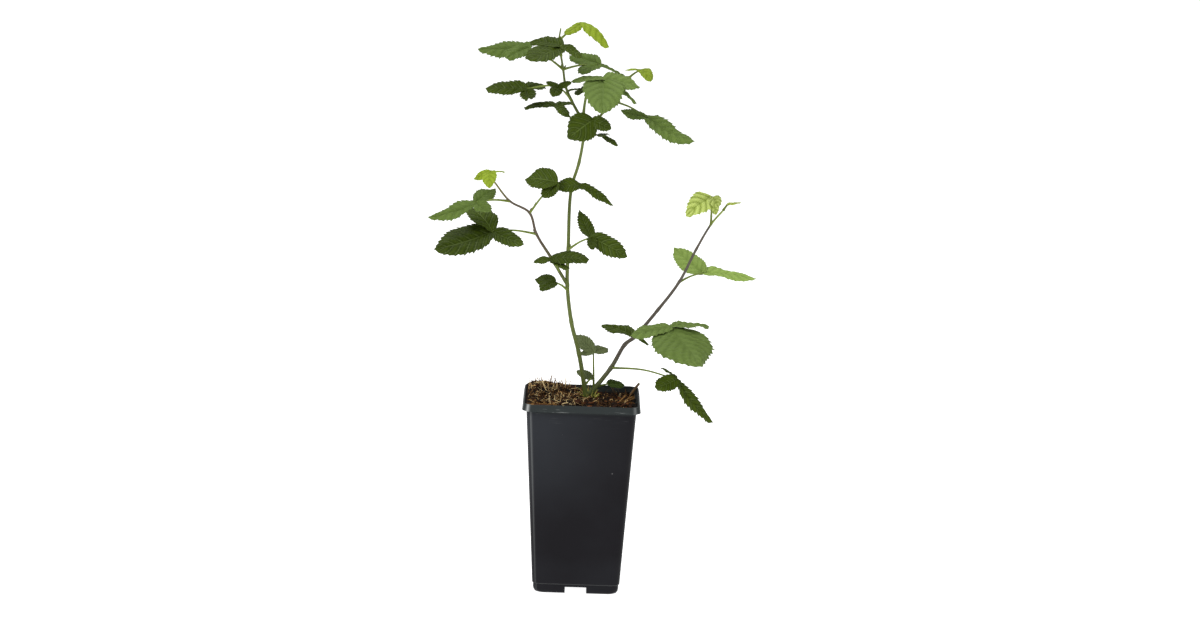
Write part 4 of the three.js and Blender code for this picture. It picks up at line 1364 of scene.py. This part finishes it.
@dataclass
class PottingMix:
    """Peat and bark fines in the pot, with bark chips, crumbs, straw and fibres lying on them.

    A mound is its middle in X and Y, its reach and its height. Pairs are the ranges that sizes are drawn
    from, but for places, reaches and spreads in X and Y, and the mean and spread of the flat straws'
    rise. A chip's width and thickness are shares of its size, and its tilt is in radians.
    """

    origin: Array
    pot: Pot
    level: float = 178.0
    gap: float = 0.3
    crown: Triple = (7.0, 15.0, 17.0)
    mounds: tuple[Mound, ...] = (
        (-32.0, 22.0, 26.0, 5.5), (44.0, 34.0, 30.0, -3.0), (-8.0, -48.0, 30.0, 2.2))
    banks: tuple[Mound, ...] = (
        (-38.0, 38.0, 18.0, 4.2), (-48.0, 16.0, 15.0, 3.2), (-48.0, -8.0, 15.0, 4.4),
        (-49.0, -32.0, 14.0, 4.0))
    rust: Pair = (-38.0, -44.0)
    rust_reach: Pair = (12.0, 9.0)
    bed_rows: int = 56
    chips: int = 900
    chip_spread: float = 47.0
    large_share: float = 0.22
    large: Pair = (1.6, 4.2)
    crumb: Pair = (0.5, 1.4)
    chip_width: Pair = (0.35, 0.8)
    chip_thickness: Pair = (0.2, 0.5)
    chip_tilt: float = 0.35
    straws: int = 760
    straw_spread: float = 45.0
    heaped_share: float = 0.5
    heap: Pair = (-31.0, 12.0)
    heap_spread: Pair = (14.0, 22.0)
    heap_across: Pair = (-49.0, 30.0)
    heap_back: Pair = (-46.0, 46.0)
    length: Pair = (2.2, 15.0)
    raised_share: float = 0.5
    raised: Pair = (20.0, 75.0)
    flat: Pair = (6.0, 8.0)
    bend: float = 0.2
    broad_share: float = 0.12
    broad: Pair = (0.3, 0.55)
    thin: Pair = (0.12, 0.28)
    pale: Pair = (0.7, 1.1)
    dark: Pair = (0.0, 0.42)
    edge: float = 49.8
    tufts: tuple[Tuft, ...] = (
        Tuft(12, (34, 42), (-11, -9), (25, 75), (12, 30), (11, 17), (0.22, 0.45), 0.08, (0.3, 0.75), 1.6),
        Tuft(16, (-47, -12), (34, 46), (0, 360), (35, 75), (5, 10), (0.2, 0.45), 0.15, (0.3, 1.0)),
        Tuft(110, (-48, -24), (-48, -36), (0, 360), (0, 30), (3, 6), (0.2, 0.4), 0.2, (0.25, 0.6)))
    broad_straws: tuple[Straw, ...] = (
        Straw(-33.0, 6.0, 195.0, 66.0, 11.0, 1.15, 0.05, 1.15),
        Straw(-42.0, 26.0, 350.0, 24.0, 9.0, 0.8, 0.05, 1.0),
        Straw(-15.0, -34.0, 200.0, 24.0, 13.0, 0.5, 0.05, 1.1),
        Straw(-24.0, -40.0, 335.0, 18.0, 13.0, 0.45, 0.05, 1.0))

    def height(self, x: Array, y: Array) -> Array:
        """Gives the surface: level at the crown, and the mounds, as bells, fade in away from it."""
        free = smoothstep(1.0, 1.8, np.hypot(x - self.crown[0], y - self.crown[1]) / self.crown[2])
        return self.level + free * self.heaped(x, y, self.mounds)

    def heaped(self, x: Array, y: Array, mounds: tuple[Mound, ...]) -> Array:
        """Gives the sum of some mounds, each its height times a bell of the distance from its middle."""
        return sum(high * bell(np.hypot(x - middle_x, y - middle_y), reach)
                   for middle_x, middle_y, reach, high in mounds)

    def loose_height(self, x: Array, y: Array) -> Array:
        """Adds the loose litter that is banked up along the left side."""
        return self.height(x, y) + self.heaped(x, y, self.banks)

    def rough_height(self, x: Array, y: Array) -> Array:
        """Adds lumps of 9, 4 and 2 mm to the loose surface, mostly downwards."""
        rough = 1.5 * lumps(x, y, 9, 3) + 1.1 * lumps(x, y, 4, 5) + 0.6 * lumps(x, y, 2, 9)
        return self.loose_height(x, y) + rough - 0.6

    def build_bed(self, material: Material) -> Piece:
        """Makes the bed: the pot's inside ring up to the surface, then shrinking rings over the lumps.

        The outer rings widen where they rise into the rim. The tint has lumps of 6 mm, and an oval bell
        of red-brown fines in the front left corner.

        Args:
            material: The bed's finish.

        Returns:
            The bed.
        """
        clear = 2 * (self.pot.wall + self.gap)
        width, base = self.pot.body_width(self.pot.rim) - clear, self.pot.body_width(10) - clear
        rings = [self.pot.ring(base, 6, 10), self.pot.ring(width - 0.5, 8, self.level - 9)]
        for share in np.linspace(1, 0.03, self.bed_rows):
            ring = self.pot.ring(width * share, 8 * share, 0)
            ring[:, 2] = self.rough_height(ring[:, 0], ring[:, 1])
            flare = np.clip(0.75 * (ring[:, 2:] - self.pot.rim), 0, 2.3) / (width / 2)
            ring[:, :2] *= 1 + flare * share ** 6
            rings.append(ring)
        stack = np.stack(rings)
        x, y = stack[..., 0], stack[..., 1]
        tint = 0.35 + 0.3 * lumps(x, y, 6, 21)
        (middle_x, middle_y), (reach_x, reach_y) = self.rust, self.rust_reach
        tint += 0.7 * bell(x - middle_x, reach_x) * bell(y - middle_y, reach_y)
        shell = Shell()
        shell.add_rings(stack, tint=tint)
        return shell.build("potting_mix_bed", [material], self.origin)

    def build_chips(self, material: Material) -> Piece:
        """Makes bark chips and crumbs: one twenty-faced blob, stretched, turned and sunk for each.

        Args:
            material: The chips' finish.

        Returns:
            All the chips as one piece.
        """
        rng = np.random.default_rng(SEED + 1)
        count = self.chips
        g = (1 + 5 ** 0.5) / 2
        shape = np.array([(-1, g, 0), (1, g, 0), (-1, -g, 0), (1, -g, 0), (0, -1, g), (0, 1, g),
                          (0, -1, -g), (0, 1, -g), (g, 0, -1), (g, 0, 1), (-g, 0, -1), (-g, 0, 1)]) / 1.9
        triangles = np.array([
            (0, 11, 5), (0, 5, 1), (0, 1, 7), (0, 7, 10), (0, 10, 11), (1, 5, 9), (5, 11, 4), (11, 10, 2),
            (10, 7, 6), (7, 1, 8), (3, 9, 4), (3, 4, 2), (3, 2, 6), (3, 6, 8), (3, 8, 9), (4, 9, 5),
            (2, 4, 11), (6, 2, 10), (8, 6, 7), (9, 8, 1)])
        x, y = rng.uniform(-self.chip_spread, self.chip_spread, (2, count))
        large = rng.uniform(size=count) < self.large_share
        size = np.where(large, rng.uniform(*self.large, count), rng.uniform(*self.crumb, count))
        width = size * rng.uniform(*self.chip_width, count)
        thickness = size * rng.uniform(*self.chip_thickness, count)
        scale = np.stack([size, width, thickness], -1)
        blobs = shape * (1 + rng.uniform(-0.3, 0.3, (count, 12, 1))) * scale[:, None]
        yaw, pitch = rng.uniform(0, 360, count), np.degrees(rng.normal(0, self.chip_tilt, count))
        ahead, across = direction(yaw, -pitch).T, direction(yaw + 90, 0 * yaw).T
        turn = np.stack([ahead, across, np.cross(ahead, across)], -1)
        places = np.stack([x, y, self.rough_height(x, y) + 0.4 * thickness], -1)
        shell = Shell()
        shell.add_blobs(np.einsum("nij,nkj->nki", turn, blobs) + places[:, None], triangles,
                        rng.beta(1.6, 2.2, count))
        return shell.build("bark_chips", [material], self.origin)

    def build_straw(self, material: Material) -> Piece:
        """Makes straw and fibres: half lie anywhere and half about the heap, and half of each poke out
        while the rest lie nearly flat. Tufts and broad straws come on top.

        Args:
            material: The straw's finish.

        Returns:
            All the straws as one piece.
        """
        rng = np.random.default_rng(SEED + 2)
        shell = Shell()
        count = self.straws
        x, y = rng.uniform(-self.straw_spread, self.straw_spread, (2, count))
        heaped = rng.uniform(size=count) < self.heaped_share
        x[heaped] = rng.normal(self.heap[0], self.heap_spread[0], heaped.sum()).clip(*self.heap_across)
        y[heaped] = rng.normal(self.heap[1], self.heap_spread[1], heaped.sum()).clip(*self.heap_back)
        length = rng.gamma(3.0, 1.7, count).clip(*self.length)
        heading = rng.uniform(0, 360, count)
        raised = rng.uniform(size=count) < self.raised_share
        rise = np.where(raised, rng.uniform(*self.raised, count), rng.normal(*self.flat, count))
        broad = rng.uniform(size=count) < self.broad_share
        girth = np.where(broad, rng.uniform(*self.broad, count), rng.uniform(*self.thin, count))
        bright = rng.uniform(size=count) < np.where(x < 8, 0.37, 0.2)
        tone = np.where(bright, rng.uniform(*self.pale, count), rng.uniform(*self.dark, count))
        bend = rng.normal(0, self.bend, count)
        for sizes in zip(x, y, heading, rise, length, girth, bend, tone):
            self.add_straw(shell, Straw(*sizes))
        for tuft in self.tufts:
            for number in range(tuft.count):
                self.add_straw(shell, tuft.draw(rng, number))
        for straw in self.broad_straws:
            self.add_straw(shell, straw)
        return shell.build("straw_and_fibre", [material], self.origin)

    def add_straw(self, shell: Shell, straw: Straw) -> None:
        """Adds one straw as a thin flat tube, bent as a parabola. It starts in the bed, never dips below it
        and doesn't reach through the pot's wall.

        Args:
            shell: The straws' shell.
            straw: The straw's sizes.
        """
        t = np.linspace(0, 1, 7)[:, None]
        across = direction(straw.heading + 90, 0) * straw.bend * t ** 2
        path = (direction(straw.heading, straw.rise) * t + across) * straw.length
        path[:, :2] = (path[:, :2] + (straw.x, straw.y)).clip(-self.edge, self.edge)
        bed = self.loose_height(path[:, 0], path[:, 1])
        path[:, 2] = np.maximum(bed[0] - 0.8 + path[:, 2], bed - 0.4 + 1.2 * np.sin(np.pi * t[:, 0]))
        width = straw.girth * (0.6 + 0.4 * np.cos(2.4 * (t - 0.5)))
        shell.add_tube(path, width * np.array([1, 0.45, 1, 0.45]), tint=straw.tone)


# Studio

@dataclass(frozen=True)
class Lamp:
    """A soft square lamp: its place and side in millimetres, and its power in watts."""

    name: str
    place: Triple
    side: float
    power: float


@dataclass
class Studio:
    """A white floor, soft lamps and the camera at the photograph's viewing angle.

    The camera's pan, downward tilt and roll are in radians, and its focal length is in the photograph's
    pixels. The lamps look at the plant's middle.
    """

    origin: Array
    image_width: float = 1200.0
    sensor: float = 36.0
    camera_place: Triple = (-12.09, -3300.0, 825.38)
    pan: float = 0.00806
    tilt: float = 0.17022
    roll: float = 0.034
    focal_px: float = 3591.57
    lamps: tuple[Lamp, ...] = (
        Lamp("key", (-1300, -1700, 1900), 1200, 46), Lamp("fill", (1900, -1300, 1000), 1600, 12),
        Lamp("overhead", (0, 300, 2300), 1800, 26))
    aim: Triple = (0.0, 0.0, 250.0)
    daylight: float = 0.4
    floor_reach: float = 9000.0
    floor_gap: float = 0.3

    def stand(self, thing: Piece, place: Triple, right: Array, up: Array) -> None:
        """Moves and turns a lamp or the camera.

        Args:
            thing: The lamp or camera.
            place: Its place in millimetres.
            right: Where its own X points.
            up: Where its own Y points.
        """
        matrix = np.eye(4)
        matrix[:3] = np.column_stack([right, up, np.cross(right, up), np.array(place) * MM + self.origin])
        thing.matrix_world = Matrix(matrix.tolist())

    def build_camera(self) -> None:
        """Makes the camera: level right and the way ahead from pan and tilt, then turned by the roll."""
        data = bpy.data.cameras.new("camera")
        data.sensor_width = self.sensor
        data.lens = self.focal_px * self.sensor / self.image_width
        data.clip_end = 50.0
        right = direction(-np.degrees(self.pan), 0)
        ahead = direction(90 - np.degrees(self.pan), -np.degrees(self.tilt))
        up = np.cross(right, ahead)
        camera = put("camera", data)
        self.stand(camera, self.camera_place, right * np.cos(self.roll) + up * np.sin(self.roll),
                   up * np.cos(self.roll) - right * np.sin(self.roll))
        bpy.context.scene.camera = camera

    def build_floor(self) -> None:
        """Makes the floor: one level square in matt white paint that glows white, so that it stays even far
        out and between the pot's feet."""
        corners = np.array([(-1.0, -1.0), (1.0, -1.0), (1.0, 1.0), (-1.0, 1.0)]) * self.floor_reach
        shell = Shell()
        shell.add_points(np.column_stack([corners, np.full(4, -self.floor_gap)]))
        shell.add_faces(np.arange(4)[None], np.zeros((1, 4, 2)))
        material, tree = new_material("white_floor_paint")
        finish_surface(tree, {"Base Color": srgb("c8c8c8"), "Roughness": 0.9, "Specular IOR Level": 0.0,
                              "Emission Color": srgb("ffffff"), "Emission Strength": 1.0})
        shell.build("floor", [material], self.origin)

    def build_lamp(self, lamp: Lamp) -> None:
        """Makes one lamp that looks at the aim.

        Args:
            lamp: The lamp's sizes.
        """
        data = bpy.data.lights.new(lamp.name, "AREA")
        data.size, data.energy = lamp.side * MM, lamp.power
        back = unit(np.array(lamp.place) - np.array(self.aim))
        side = unit(np.cross([0, 0, 1.0], back))
        self.stand(put(lamp.name, data), lamp.place, side, np.cross(back, side))

    def build(self) -> None:
        """Makes the camera, floor, lamps and daylight fill, and a plain view of their colours."""
        self.build_camera()
        self.build_floor()
        for lamp in self.lamps:
            self.build_lamp(lamp)
        world = bpy.data.worlds.new("daylight")
        world.use_nodes = True
        sky = world.node_tree.nodes["Background"].inputs
        sky["Color"].default_value, sky["Strength"].default_value = srgb("ffffff"), self.daylight
        bpy.context.scene.world = world
        bpy.context.scene.view_settings.view_transform = "Standard"


# Assembly

def settle(piece: Piece, slot: str, *nodes: str) -> None:
    """Puts a piece on the plant's one body, hides the CAD nodes that it replaces and logs its faces.

    Args:
        piece: The finished piece.
        slot: The record's material slot; not used.
        nodes: The CAD nodes that it replaces.
    """
    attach(piece, "root")
    if nodes:
        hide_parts(*nodes)
    LOG.info("%s: %d faces", piece.name, len(piece.data.polygons))


def build_plant(origin: Array) -> None:
    """Builds every stem and then its leaves.

    Args:
        origin: The pot's axis at ground level in the frame, in metres.
    """
    barks = {bark: finish.material() for bark, finish in STEM_FINISHES.items()}
    tops = {tone: finish.top() for tone, finish in LEAF_FINISHES.items()}
    unders = {tone: finish.under_side() for tone, finish in LEAF_FINISHES.items()}
    built: dict[str, StemPiece] = {}
    for number, stem in enumerate(STEMS):
        foot = built[stem.parent].place(stem.node) if stem.parent else np.array(stem.start)
        piece = StemPiece(stem, origin, foot)
        built[stem.name] = piece
        settle(piece.build(barks[stem.bark]), STEM_FINISHES[stem.bark].slot, stem.name)
        for index, leaf in enumerate(stem.leaves, 1):
            node, tone = f"{stem.name}_leaf_{index}", leaf.tone
            seed = SEED + 40 * number + index
            made = LeafPiece(leaf, f"{node}_blades", origin, piece.place(leaf.node), seed)
            settle(made.build(tops[tone], unders[tone], barks[Bark.STALK]), LEAF_FINISHES[tone].slot, node)


def main() -> None:
    logging.basicConfig(level=logging.INFO, format="%(message)s")
    low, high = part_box("pot")
    origin = np.array([(low[0] + high[0]) / 2, (low[1] + high[1]) / 2, low[2]])
    pot = Pot(origin)
    settle(pot.build(PotPlastic().material()), "pot_plastic", "pot")
    mix = PottingMix(origin, pot)
    settle(mix.build_bed(PEAT.material()), "potting_mix", "potting_mix")
    settle(mix.build_chips(CHIPS.material()), "potting_mix")
    settle(mix.build_straw(STRAW.material()), "potting_mix")
    settle(CrownShoots(origin).build(DRY_STALK.material()), "dead_wood")
    build_plant(origin)
    Studio(origin).build()


if __name__ == "__main__":
    main()
